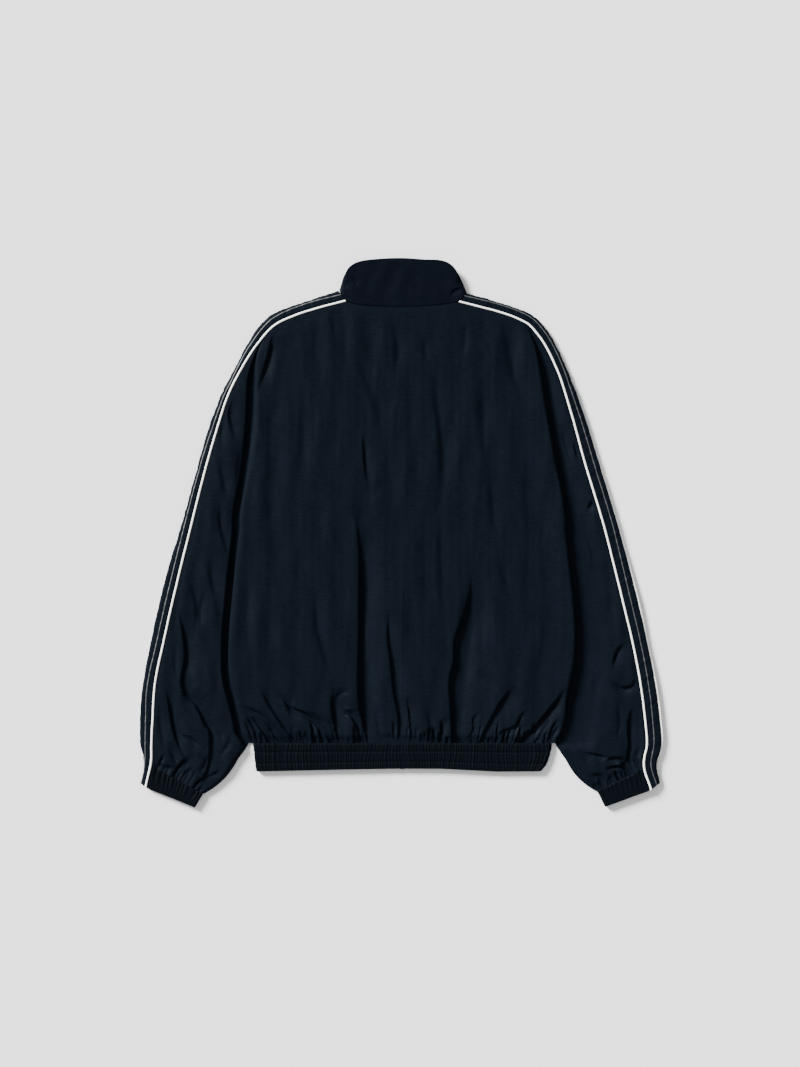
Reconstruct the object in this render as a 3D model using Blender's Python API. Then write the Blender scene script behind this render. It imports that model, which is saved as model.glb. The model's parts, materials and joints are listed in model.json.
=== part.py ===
"""Track jacket laid flat on its front, collar towards +Y, back upwards.

Crinkle nylon shell with set-in sleeves. A strip between two white pipings runs from the neck over
the shoulder and down the outer edge of each sleeve, round a flattened fold. Stand collar, elastic
hem casing, elastic cuffs, front zip with a slider and a hinged pull tab, all lying on the floor z = 0.

Sizes are millimetres in a pattern frame, and become metres when a mesh is made:
  out   distance from the centre line, on the wearer's left (-X) or right (+X)
  down  distance below the top of the collar, so Y = LENGTH / 2 - down
"""

import math

import bmesh
import bpy
import numpy as np
from mathutils import Matrix, Vector

MM = 0.001
LENGTH = 796.0              # top of the collar to the tips of the cuffs
CLOTH = 1.4                 # wall of the body and sleeve panels
STRIP_CLOTH = 1.2           # wall of the stripe strips
COLLAR_CLOTH = 2.4          # the collar is double, faced and turned
BAND_CLOTH = 2.8            # elastic inside its casing
GAP = 0.3                   # between pieces at a seam
SEAM_GAP = 0.36             # where two panels meet along a curve
LEFT, RIGHT = -1.0, 1.0

PIPING_HALF = 1.75          # half the width of a white piping
PIPING_ROOM = PIPING_HALF + GAP
STRIP_WIDTH = 24.0          # between the middles of a strip's two white pipings
LINE_HALF = 0.65            # half the width of the thin line down the strip
FLOOR_ROOM = 1.3            # height of the strip's underside above the floor
PIPING_LEDGE = 4.0          # level cloth inside the back piping
FOLD_DROP = 1.0             # from the height at the piping to the top of the fold
UNDER_RUN = 12.0            # level cloth below, past the front piping
PIPING_SUNK = 0.8           # how deep the pipings' seams lie below the strip's face
FIRST_STATION = 1.2         # along the edge from the collar's fold
TIP_WIDTH = 2.0             # width of a sleeve where it starts at the shoulder

UNDERARM_DOWN = 393.0
HEM_DOWN = 702.5            # seam between the body and the hem casing
HEM_DEPTH = 38.5
COLLAR_RADIUS = 5.5         # half the height of the folded collar
HEM_RADIUS = 4.0
CUFF_RADIUS = 4.0

# Undersides of the laid panels above the floor, and the widths over which they change.
SEAM_HEIGHT = 4.1           # along the armhole seam
SEAM_FALL = 45.0            # above the underarm, where that seam comes down to the lower layers
SWELL = 2.2                 # of a sleeve between its edges
SWELL_WIDTH = 60.0          # width of a sleeve that swells fully
SLEEVE_SHOULDER = 16.0      # rounding of a sleeve beside the armhole
SLEEVE_LEVEL = 9.0          # width beside the piping in which a sleeve leaves its height
SLEEVE_LEAST = 0.6          # least height of a sleeve's folds above the layer below
TUCK_START, TUCK_RUN = 21.0, 14.0   # how a sleeve dips before the side of the body
WRIST_GATHER, WRIST_GATHER_DOWN = 1.0, 690.0
BACK_HEIGHT, BACK_SWELL, SWELL_REACH = 8.2, 1.6, 120.0
BACK_SHOULDER = 20.0        # rounding of the back beside its side edges
SHOULDER_FALL = 30.0        # distance below the shoulder piping in which the back settles
CORNER_FALL = 12.0          # the same beside the tip of the armhole
HEM_GATHER, HEM_GATHER_START, HEM_GATHER_RUN = 1.3, 44.0, 30.0
HEM_SEAM_HEIGHT, HEM_SEAM_RUN = 5.0, 26.0

ZIP_X = 3.0
CHAIN_HALF = 3.0            # half the width of the closed zip chain
ZIP_EDGE = 4.0              # from the middle of the zip to the edges of the fronts
TAPE_WIDTH = 13.0
TAPE_CLOTH = 0.8
CHAIN_THICK = 1.4
SLIDER_TOP = 50.0           # down
SLIDER_LENGTH = 13.0
SLIDER_HALF = 4.8
PLATE = 1.0
PIN_RADIUS = 0.5
EYE_BORE = 0.8
EYE_RADIUS = 1.3
PIN_HEIGHT = 1.4            # above the floor
TAB_LENGTH = 25.0
TAB_HALF = 3.4

# Outer edge from the neck to the end of the cuff. piping: edge to the middle of the back piping.
# lean: how far a line across the strip slants along it. rise: height of the cloth at the piping.
# Row 4 is the top of the armhole, 9 the underarm, 15 the wrist, 16 the cuff seam, 17 the cuff's end.
EDGE_COLUMNS = ("out", "down", "piping", "lean", "rise")
EDGE = {
    LEFT: (
        (88.5, 47.0, 17.0, -0.30, 10.5), (127.0, 60.0, 14.0, -0.10, 9.5), (158.0, 70.5, 13.0, 0.0, 9.0),
        (188.0, 84.0, 13.0, 0.0, 8.7), (217.5, 120.5, 9.0, 0.0, 8.5), (236.0, 156.0, 5.0, 0.0, 8.0),
        (254.5, 190.7, 7.0, 0.0, 8.5), (275.0, 243.0, 9.0, 0.0, 8.0), (295.0, 312.5, 9.0, 0.0, 8.5),
        (316.0, 388.0, 11.0, 0.0, 8.0), (335.5, 451.7, 15.0, 0.0, 8.5), (349.0, 505.0, 16.0, 0.0, 9.0),
        (360.0, 556.0, 15.0, 0.0, 8.5), (371.0, 615.0, 14.0, 0.05, 9.0), (376.2, 665.0, 16.0, 0.15, 8.5),
        (376.5, 705.0, 12.5, 0.30, 9.0), (371.0, 731.5, 8.0, 0.45, 8.5), (376.5, 760.5, 8.0, 0.45, 8.0),
    ),
    RIGHT: (
        (96.0, 51.0, 17.0, -0.30, 10.5), (122.0, 58.0, 14.0, -0.10, 9.5), (148.0, 66.0, 13.0, 0.0, 9.0),
        (172.0, 74.5, 13.0, 0.0, 8.7), (194.0, 85.5, 13.5, 0.0, 8.5), (211.0, 106.0, 12.5, 0.0, 8.5),
        (237.0, 156.0, 11.5, 0.0, 8.0), (257.5, 208.0, 14.5, 0.0, 8.5), (284.0, 290.0, 18.0, 0.0, 8.0),
        (313.0, 385.0, 18.5, 0.0, 8.5), (331.5, 451.7, 20.0, 0.0, 8.0), (345.0, 505.0, 20.5, 0.0, 9.0),
        (356.0, 556.0, 19.5, 0.0, 8.5), (368.0, 615.0, 20.5, 0.05, 9.0), (375.0, 665.0, 21.0, 0.15, 8.5),
        (376.8, 708.0, 20.0, 0.30, 9.0), (369.5, 734.0, 16.0, 0.45, 8.5), (375.0, 760.5, 14.0, 0.45, 8.0),
    ),
}
ARMHOLE_ROW, UNDERARM_ROW, WRIST_ROW, CUFF_ROW, END_ROW = 4, 9, 15, 16, 17
SHOULDER_STEPS, ARMHOLE_STEPS, SLEEVE_STEPS, WRIST_STEPS, CUFF_STEPS = 12, 11, 14, 2, 2

# Inner edge of the sleeve, a row for each EDGE row from 5: the armhole to row 9, then the sleeve's
# underarm fold, which runs below the side of the body and comes out at the hem.
INNER_COLUMNS = ("out", "down")
INNER = {
    LEFT: ((211.0, 160.0), (212.0, 196.0), (214.5, 245.0), (221.5, 305.0), (232.5, 393.0), (213.0, 450.0),
           (193.0, 508.0), (186.5, 567.0), (191.0, 622.0), (206.0, 672.0), (236.0, 726.0),
           (285.0, 776.0), (298.0, 796.0)),
    RIGHT: ((193.5, 125.0), (203.0, 165.0), (209.0, 207.0), (222.5, 283.0), (238.5, 393.0), (219.0, 450.0),
            (199.0, 508.0), (191.0, 567.0), (196.0, 622.0), (211.0, 672.0), (241.0, 728.0),
            (284.0, 772.0), (296.5, 795.0)),
}

# Side of the body from the underarm to the hem.
SIDE_COLUMNS = ("down", "left", "right")
SIDE = (
    (393.0, 232.5, 238.5), (437.0, 237.8, 243.5), (495.0, 243.6, 250.1), (553.0, 248.2, 253.2),
    (582.0, 248.7, 251.6), (611.0, 246.8, 246.0), (640.0, 239.5, 240.0), (669.0, 232.7, 237.5),
    (690.0, 227.5, 230.5), (702.5, 217.5, 222.0),
)
BACK_STEPS, FRONT_STEPS = 13, 8    # rows from the underarm to the hem

# Collar along its seam and along its top, x signed, from the left fold over the back to the right.
COLLAR_COLUMNS = ("base_x", "base_down", "top_x", "top_down")
COLLAR_BACK = (
    (-88.5, 47.0, -83.0, 28.0), (-77.6, 61.6, -74.0, 13.0), (-60.0, 67.5, -58.0, 4.5),
    (-30.0, 69.5, -29.0, 1.0), (4.0, 70.3, 3.0, 0.0), (38.0, 69.0, 34.0, 2.0),
    (66.0, 66.5, 60.0, 3.5), (84.0, 61.6, 77.0, 13.0), (96.4, 51.5, 90.0, 35.0),
)
COLLAR_FRONT = {  # from the fold to the zip
    LEFT: ((-88.5, 47.0, -83.0, 28.0), (-80.0, 74.0, -72.0, 24.0), (-55.0, 98.0, -50.0, 36.0),
           (-1.0, 113.0, -1.0, 48.0)),
    RIGHT: ((96.4, 51.5, 90.0, 35.0), (86.0, 76.0, 78.0, 31.0), (61.0, 98.0, 56.0, 38.0),
            (7.0, 113.0, 7.0, 48.0)),
}

# Hem casing: silhouette of its left and right folds, by depth below the seam.
HEM_COLUMNS = ("depth", "left_x", "right_x")
HEM = ((0.0, -214.6, 219.7), (12.0, -213.0, 218.0), (30.0, -211.0, 212.5), (38.5, -209.0, 203.5))
HEM_RIBS = 90
CUFF_RIBS = 17
RIB_HEIGHT = 0.9

# Height of the zip chain above the floor, by distance down the front.
ZIP_LIFT_COLUMNS = ("down", "lift")
ZIP_LIFT = ((0.0, 4.3), (74.0, 4.3), (100.0, 2.4), (140.0, 0.5), (800.0, 0.5))
ZIP_PLATEAU = 17.0          # half width over which the fronts keep the chain's height
ZIP_SPREAD = 46.0           # half width at which they are back on the floor

# Folds of the back, a row each: three points along it, half width, height of the ridge (a trough is
# negative) and roll, which lifts the wearer's right side of it and lowers the left.
FOLD_COLUMNS = ("x0", "down0", "x1", "down1", "x2", "down2", "width", "height", "roll")
BACK_FOLDS = (
    (-183.0, 106.0, -192.0, 142.0, -201.0, 180.0, 8.0, -3.2, 1.2),
    (-160.0, 92.0, -174.0, 200.0, -185.0, 290.0, 11.0, -2.6, -1.0),
    (-189.0, 306.0, -182.0, 380.0, -190.0, 510.0, 13.0, -2.8, 1.8),
    (-73.0, 118.0, -47.0, 170.0, -25.0, 276.0, 11.0, -2.6, 1.4),
    (-52.0, 256.0, -45.0, 306.0, -50.0, 350.0, 9.0, -2.2, -1.0),
    (-50.0, 347.0, -34.0, 333.0, -18.0, 323.0, 8.0, -2.0, 0.0),
    (-70.0, 350.0, -50.0, 440.0, -50.0, 697.0, 10.0, -4.6, 1.8),
    (-26.0, 430.0, -24.0, 560.0, -20.0, 640.0, 17.0, 2.6, 0.0),
    (-120.0, 466.0, -113.0, 553.0, -94.0, 626.0, 12.0, -2.6, -1.2),
    (-94.0, 632.0, -97.0, 665.0, -100.0, 698.0, 8.0, -2.6, 1.4),
    (-82.0, 637.0, -92.0, 658.0, -56.0, 698.0, 7.0, -2.6, 0.0),
    (-9.0, 495.0, -11.0, 553.0, -1.0, 698.0, 9.0, -2.4, 1.0),
    (34.0, 110.0, 37.0, 150.0, 55.0, 210.0, 9.0, -2.2, 1.2),
    (55.0, 205.0, 62.0, 330.0, 60.0, 440.0, 11.0, -2.8, -1.2),
    (60.0, 440.0, 62.0, 500.0, 66.0, 560.0, 9.0, -2.2, 0.0),
    (96.0, 90.0, 98.0, 120.0, 94.0, 142.0, 8.0, -2.4, 0.0),
    (121.0, 160.0, 124.0, 280.0, 140.0, 425.0, 11.0, -3.0, 1.4),
    (152.0, 90.0, 160.0, 145.0, 188.0, 228.0, 10.0, -2.8, -1.2),
    (100.0, 466.0, 92.0, 535.0, 82.0, 700.0, 19.0, -4.0, -1.4),
    (128.0, 430.0, 132.0, 520.0, 128.0, 590.0, 17.0, 3.2, 0.0),
    (113.0, 608.0, 128.0, 606.0, 140.0, 626.0, 8.0, -2.2, 0.0),
    (174.0, 616.0, 150.0, 650.0, 112.0, 698.0, 9.0, -3.0, 1.0),
    (224.0, 646.0, 196.0, 668.0, 166.0, 699.0, 9.0, -3.6, 1.4),
    (198.0, 640.0, 165.0, 672.0, 133.0, 697.0, 8.0, -2.6, 0.0),
    (-184.0, 628.0, -148.0, 656.0, -110.0, 697.0, 9.0, -3.8, -1.4),
    (-222.0, 650.0, -196.0, 672.0, -160.0, 699.0, 8.0, -3.6, -1.4),
    (-200.0, 626.0, -165.0, 662.0, -140.0, 697.0, 8.0, -2.4, 0.0),
    (-215.0, 470.0, -208.0, 540.0, -200.0, 600.0, 15.0, 2.4, 0.0),
    (215.0, 440.0, 208.0, 520.0, 205.0, 590.0, 15.0, 2.4, 0.0),
)
# Folds of the sleeves, x as out.
SLEEVE_FOLDS = {
    LEFT: (
        (245.0, 217.0, 240.0, 240.0, 236.0, 263.0, 7.0, -1.8, 0.0),
        (260.0, 292.0, 256.0, 320.0, 250.0, 350.0, 7.0, -2.0, 0.0),
        (259.0, 380.0, 252.0, 408.0, 245.0, 438.0, 8.0, -2.2, 0.0),
        (273.0, 438.0, 268.0, 466.0, 264.0, 496.0, 8.0, -2.2, 0.0),
        (305.0, 460.0, 294.0, 495.0, 298.0, 553.0, 9.0, -2.4, 0.0),
        (317.0, 524.0, 309.0, 600.0, 277.0, 700.0, 10.0, -3.4, 0.0),
        (337.0, 626.0, 330.0, 680.0, 308.0, 724.0, 9.0, -2.8, 0.0),
        (311.0, 691.0, 298.0, 702.0, 284.0, 710.0, 8.0, -2.2, 0.0),
        (284.0, 672.0, 268.0, 690.0, 254.0, 706.0, 8.0, -2.2, 0.0),
        (290.0, 600.0, 282.0, 640.0, 262.0, 680.0, 13.0, 2.2, 0.0),
    ),
    RIGHT: (
        (278.0, 437.0, 266.0, 500.0, 257.0, 608.0, 10.0, -3.6, 0.0),
        (328.0, 553.0, 318.0, 575.0, 308.0, 597.0, 9.0, -2.4, 0.0),
        (300.0, 611.0, 318.0, 618.0, 344.0, 600.0, 8.0, -2.4, 0.0),
        (286.0, 582.0, 282.0, 620.0, 279.0, 655.0, 8.0, -2.4, 0.0),
        (333.0, 647.0, 331.0, 676.0, 330.0, 706.0, 9.0, -2.6, 0.0),
        (300.0, 660.0, 300.0, 690.0, 296.0, 740.0, 12.0, 2.4, 0.0),
        (268.0, 300.0, 262.0, 340.0, 262.0, 380.0, 9.0, -1.8, 0.0),
    ),
}

NAVY = (0.006, 0.010, 0.016)
COLLAR_NAVY = (0.005, 0.008, 0.012)
HEM_NAVY = (0.004, 0.006, 0.009)
WHITE = (0.78, 0.78, 0.76)
GREY = (0.30, 0.31, 0.33)
NYLON = dict(color=NAVY, roughness=0.5)
FACED = dict(color=COLLAR_NAVY, roughness=0.55)
ELASTIC = dict(color=HEM_NAVY, roughness=0.6)
SATIN = dict(color=WHITE, roughness=0.45)
THREAD = dict(color=GREY, roughness=0.5)
ZIP_METAL = dict(color=(0.05, 0.05, 0.055), roughness=0.35, metallic=1.0)
ZIP_PLASTIC = dict(color=(0.01, 0.012, 0.016), roughness=0.4)


# ---------------------------------------------------------------- curves and easing

def curve(keys, values, at):
    """Smooth curve through values at keys, read at one key or an array of them."""
    keys = np.asarray(keys, float)
    values = np.asarray(values, float)
    slopes = np.gradient(values, keys)
    at = np.clip(at, keys[0], keys[-1])
    i = np.clip(np.searchsorted(keys, at, side="right") - 1, 0, len(keys) - 2)
    span = keys[i + 1] - keys[i]
    t = (at - keys[i]) / span
    return ((2 * t**3 - 3 * t**2 + 1) * values[i] + (t**3 - 2 * t**2 + t) * span * slopes[i]
            + (3 * t**2 - 2 * t**3) * values[i + 1] + (t**3 - t**2) * span * slopes[i + 1])


def column(rows, names, name):
    return [row[names.index(name)] for row in rows]


def ease(value):
    """0 to 1, level at both ends."""
    t = np.clip(value, 0.0, 1.0)
    return t * t * (3 - 2 * t)


def shoulder(value):
    """0 to 1 along a quarter circle, steep at 0 and level at 1."""
    t = np.clip(value, 0.0, 1.0)
    return np.sqrt(1 - (1 - t) ** 2)


def mix(a, b, share):
    return a + (b - a) * share


def along(a, b, share):
    return tuple(mix(p, q, share) for p, q in zip(a, b))


# ---------------------------------------------------------------- closed solids

def material(name, color, roughness, metallic=0.0):
    mat = bpy.data.materials.new(name)
    mat.use_nodes = True
    shader = mat.node_tree.nodes["Principled BSDF"]
    shader.inputs["Base Color"].default_value = (*color, 1.0)
    shader.inputs["Roughness"].default_value = roughness
    shader.inputs["Metallic"].default_value = metallic
    mat.diffuse_color = (*color, 1.0)
    return mat


def to_world(point):
    x, down, z = point
    return Vector((x * MM, (LENGTH / 2 - down) * MM, z * MM))


def add_object(name, points, faces, finish):
    """One closed mesh from (x, down, z) points, its faces turned outwards."""
    mesh = bpy.data.meshes.new(name)
    mesh.from_pydata([to_world(p) for p in points], [], faces)
    shape = bmesh.new()
    shape.from_mesh(mesh)
    bmesh.ops.recalc_face_normals(shape, faces=shape.faces[:])
    shape.to_mesh(mesh)
    shape.free()
    mesh.materials.append(material(name, **finish))
    mesh.shade_smooth()
    mesh.set_sharp_from_angle(angle=math.radians(50))
    obj = bpy.data.objects.new(name, mesh)
    bpy.context.scene.collection.objects.link(obj)
    return obj


def zipper(a, b, points):
    """Triangles between two runs of vertices, in pairs, or by the shorter next edge if one is finer."""
    faces, i, j = [], 0, 0
    m, n = len(a) - 1, len(b) - 1
    while i < m or j < n:
        if m == n:
            step_a = i == j
        elif i < m and j < n:
            step_a = math.dist(points[a[i + 1]], points[b[j]]) <= math.dist(points[a[i]], points[b[j + 1]])
        else:
            step_a = i < m
        if step_a:
            faces.append((a[i], a[i + 1], b[j]))
            i += 1
        else:
            faces.append((a[i], b[j + 1], b[j]))
            j += 1
    return faces


def grid_faces(index, points, twin=None):
    """Two triangles a cell, cut along the shorter diagonal, the same way in the twin grid."""
    faces, twins = [], []
    for i in range(len(index) - 1):
        for j in range(len(index[0]) - 1):
            a, b, c, d = index[i][j], index[i][j + 1], index[i + 1][j + 1], index[i + 1][j]
            short = math.dist(points[a], points[c]) <= math.dist(points[b], points[d])
            cuts = ((0, 1, 2), (0, 2, 3)) if short else ((0, 1, 3), (1, 2, 3))
            faces += [tuple((a, b, c, d)[k] for k in cut) for cut in cuts]
            if twin:
                t = (twin[i][j], twin[i][j + 1], twin[i + 1][j + 1], twin[i + 1][j])
                twins += [tuple(t[k] for k in reversed(cut)) for cut in cuts]
    return faces, twins


def wall(name, outer, inner, finish):
    """Closed wall between an outer and an inner grid of points, which may differ in fineness."""
    points, grids = [], []
    for grid in (outer, inner):
        index = []
        for row in grid:
            index.append(list(range(len(points), len(points) + len(row))))
            points += [tuple(p) for p in row]
        grids.append(index)
    top, low = grids
    same = len(outer) == len(inner) and len(outer[0]) == len(inner[0])
    faces, twins = grid_faces(top, points, low if same else None)
    if not same:
        plain, _ = grid_faces(low, points)
        twins = [face[::-1] for face in plain]
    faces += twins
    rims = (
        (top[0], low[0]), ([r[-1] for r in top], [r[-1] for r in low]),
        (top[-1][::-1], low[-1][::-1]), ([r[0] for r in top][::-1], [r[0] for r in low][::-1]),
    )
    for a, b in rims:
        faces += [face[::-1] for face in zipper(a, b, points)]
    return add_object(name, points, faces, finish)


def rod(name, rings, finish):
    """Closed rod through rings of points, its two ends capped."""
    size = len(rings[0])
    points = [tuple(p) for ring in rings for p in ring]
    faces = [tuple(range(size))[::-1], tuple(range(len(points) - size, len(points)))]
    for i in range(len(rings) - 1):
        for j in range(size):
            k = (j + 1) % size
            a, b = i * size + j, i * size + k
            c, d = b + size, a + size
            faces += [(a, b, c), (a, c, d)]
    return add_object(name, points, faces, finish)


# ---------------------------------------------------------------- sleeve edge, strip and pipings

class SleeveEdge:
    """The outer edge of one side, in out and down, with what the strip needs at each station."""

    def __init__(self, side):
        self.side = side
        rows = EDGE[side]
        get = {name: column(rows, EDGE_COLUMNS, name) for name in EDGE_COLUMNS}
        steps = np.hypot(np.diff(get["out"]), np.diff(get["down"]))
        self.keys = np.concatenate(([0.0], np.cumsum(steps)))
        marks = (0, ARMHOLE_ROW, UNDERARM_ROW, WRIST_ROW, CUFF_ROW, END_ROW)
        counts = (SHOULDER_STEPS, ARMHOLE_STEPS, SLEEVE_STEPS, WRIST_STEPS, CUFF_STEPS)
        stations = [self.keys[0] + FIRST_STATION]
        for first, last, count in zip(marks, marks[1:], counts):
            stations += list(np.linspace(self.keys[first], self.keys[last], count + 1)[1:])
        self.stations = stations
        self.armhole = SHOULDER_STEPS
        self.underarm = self.armhole + ARMHOLE_STEPS
        self.cuff = self.underarm + SLEEVE_STEPS + WRIST_STEPS
        self.end = self.cuff + CUFF_STEPS
        self.get = get
        self.build_inner()

    def read(self, name, key):
        return float(curve(self.keys, self.get[name], key))

    def point(self, key):
        return np.array((self.read("out", key), self.read("down", key)))

    def offset(self, key, distance):
        """The point a distance in from the edge, in out and down."""
        reach = 3.0
        step = self.point(key + reach) - self.point(key - reach)
        tangent = step / np.linalg.norm(step)
        inward = np.array((-tangent[1], tangent[0]))
        return self.point(key) + distance * (inward + self.read("lean", key) * tangent)

    def section(self, key):
        """The strip's outer surface round the fold: distance from the edge, height, outward turn."""
        piping, rise = self.read("piping", key), self.read("rise", key)
        radius = (rise - FOLD_DROP - FLOOR_ROOM) / 2
        high = FLOOR_ROOM + 2 * radius
        arc = [(radius * (1 - math.sin(a)), FLOOR_ROOM + radius * (1 + math.cos(a)))
               for a in np.linspace(0, math.pi, 13)]
        halfway = (mix(piping, radius, 0.5), mix(rise, high, 0.35))
        run = [(piping + PIPING_LEDGE, rise), (piping, rise), halfway]
        return np.array(run + arc + [(STRIP_WIDTH + UNDER_RUN, FLOOR_ROOM)])

    def place(self, key, width, raise_by=0.0):
        """A point of the strip, width from the back piping's middle, raised off its surface."""
        line = self.section(key)
        gaps = np.hypot(*np.diff(line, axis=0).T)
        keys = np.concatenate(([0.0], np.cumsum(gaps))) - gaps[0]
        look = 0.8
        here = np.array([np.interp(width, keys, line[:, n]) for n in (0, 1)])
        ahead = np.array([np.interp(width + look, keys, line[:, n]) for n in (0, 1)])
        behind = np.array([np.interp(width - look, keys, line[:, n]) for n in (0, 1)])
        turn = (ahead - behind) / np.linalg.norm(ahead - behind)
        outward = np.array((turn[1], -turn[0]))
        distance, height = here + outward * raise_by
        out, down = self.offset(key, distance)
        return (self.side * out, down, height)

    def build_inner(self):
        """Where each sleeve row ends at the armhole or at the underarm fold."""
        tip = self.offset(self.keys[ARMHOLE_ROW], self.read("piping", self.keys[ARMHOLE_ROW])
                          + PIPING_ROOM + TIP_WIDTH)
        rows = [tuple(tip)] + list(INNER[self.side])
        keys = self.keys[ARMHOLE_ROW:]
        self.inner_back = [
            np.array([float(curve(keys, column(rows, INNER_COLUMNS, name), key)) for name in INNER_COLUMNS])
            for key in self.stations[self.armhole:]
        ]
        self.inner_front = []
        for key, inner in zip(self.stations[self.armhole:], self.inner_back):
            start = self.offset(key, self.front_reach(key))
            base = self.offset(key, 0.0)
            inward = (start - base) / np.linalg.norm(start - base)
            room = float(np.dot(inner - start, inward))
            self.inner_front.append(inner if room > TIP_WIDTH else start + inward * TIP_WIDTH)

    def front_reach(self, key):
        """Distance in from the edge at which the sleeve's front half starts, past the front piping."""
        out, down, _ = self.place(key, STRIP_WIDTH, -PIPING_SUNK)
        centre = np.array((self.side * out, down))
        return float(np.linalg.norm(centre - self.offset(key, 0.0))) + PIPING_ROOM + GAP


def strip(edge):
    name = "left" if edge.side == LEFT else "right"
    half = STRIP_WIDTH / 2
    widths = [mix(half, PIPING_ROOM, s) for s in (1, 2 / 3, 1 / 3)]
    widths += [mix(half, STRIP_WIDTH - PIPING_ROOM - 3 * GAP, s) for s in (0, 1 / 3, 2 / 3, 1)]
    outer = [[edge.place(key, w) for w in widths] for key in edge.stations]
    inner = [[edge.place(key, w, -STRIP_CLOTH) for w in widths] for key in edge.stations]
    wall(f"sleeve_strip_{name}", outer, inner, NYLON)
    sections = {
        f"back_piping_{name}": (0.0, SATIN, ((-PIPING_HALF, -0.9), (PIPING_HALF, -0.9), (PIPING_HALF, 0.3),
                                             (0.0, 1.0), (-PIPING_HALF, 0.3))),
        f"front_piping_{name}": (STRIP_WIDTH, SATIN, ((-PIPING_HALF, -1.0), (PIPING_HALF, -1.0),
                                                      (PIPING_HALF, 0.6), (-PIPING_HALF, 0.6))),
        f"strip_line_{name}": (STRIP_WIDTH / 2, THREAD, ((-LINE_HALF, 2 * GAP), (LINE_HALF, 2 * GAP),
                                                         (0.0, 2 * GAP + 0.5))),
    }
    for node, (middle, finish, section) in sections.items():
        rings = [[edge.place(key, middle + w, h) for w, h in section] for key in edge.stations]
        rod(node, rings, finish)


# ---------------------------------------------------------------- heights of the laid cloth

def fold_heights(folds, x, down):
    """Sum of a table of folds at arrays of points."""
    total = np.zeros_like(x)
    for x0, d0, x1, d1, x2, d2, width, height, roll in folds:
        nearest = np.full_like(x, np.inf)
        place = np.zeros_like(x)
        side = np.zeros_like(x)
        steps = 9
        for n in range(steps):
            t, u = n / steps, (n + 1) / steps
            a = along(along((x0, d0), (x1, d1), t), along((x1, d1), (x2, d2), t), t)
            b = along(along((x0, d0), (x1, d1), u), along((x1, d1), (x2, d2), u), u)
            run = np.array(b) - np.array(a)
            share = np.clip(((x - a[0]) * run[0] + (down - a[1]) * run[1]) / (run @ run), 0, 1)
            dx, dy = x - a[0] - share * run[0], down - a[1] - share * run[1]
            gap = np.hypot(dx, dy)
            closer = gap < nearest
            nearest = np.where(closer, gap, nearest)
            place = np.where(closer, t + share / steps, place)
            side = np.where(closer, np.sign(dx), side)
        q = nearest / width
        fade = np.sin(np.pi * np.clip(0.12 + 0.76 * place, 0, 1)) ** 0.7
        total += fade * np.exp(-q * q) * (height + 1.6 * roll * side * q)
    return total


def zip_lift(down):
    return np.interp(down, column(ZIP_LIFT, ZIP_LIFT_COLUMNS, "down"),
                     column(ZIP_LIFT, ZIP_LIFT_COLUMNS, "lift"))


def zip_tent(x, down):
    """How far the zip holds the fronts off the floor."""
    away = np.abs(x - ZIP_X)
    return zip_lift(down) * ease((ZIP_SPREAD - away) / (ZIP_SPREAD - ZIP_PLATEAU))


def thicken(low, thickness):
    """The upper grid of a wall whose lower grid is low, thickness measured across the cloth."""
    low = np.asarray(low, float)
    across = np.gradient(low, axis=1)
    down_run = np.gradient(low, axis=0)
    flat_a = np.hypot(across[..., 0], across[..., 1]) + 1e-6
    flat_d = np.hypot(down_run[..., 0], down_run[..., 1]) + 1e-6
    slope = np.hypot(across[..., 2] / flat_a, down_run[..., 2] / flat_d)
    high = low.copy()
    high[..., 2] += thickness * np.minimum(np.sqrt(1 + slope**2), 1.6)
    return high


SLEEVE_LAYERS = 2 * (CLOTH + GAP)      # height of the body's front where it lies on a sleeve
COVER_MARGIN = 11.0
COVER_FALL = 22.0
BACK_OVER_FRONT = CLOTH + GAP
SEAM_CLEAR = 0.05           # least share of a front's width from one column to the next by the armhole


def visible_share(outer, inner, side_out):
    """How much of a sleeve's row, from its outer end, is clear of the side of the body."""
    share = 1.0
    if not UNDERARM_DOWN < inner[1] < HEM_DOWN + 30.0:
        return share
    for _ in range(6):
        down = mix(outer[1], inner[1], share)
        share = (outer[0] - float(side_out(down))) / (outer[0] - inner[0])
        if share >= 1.0 or down > HEM_DOWN:
            return 1.0
    return share


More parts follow.
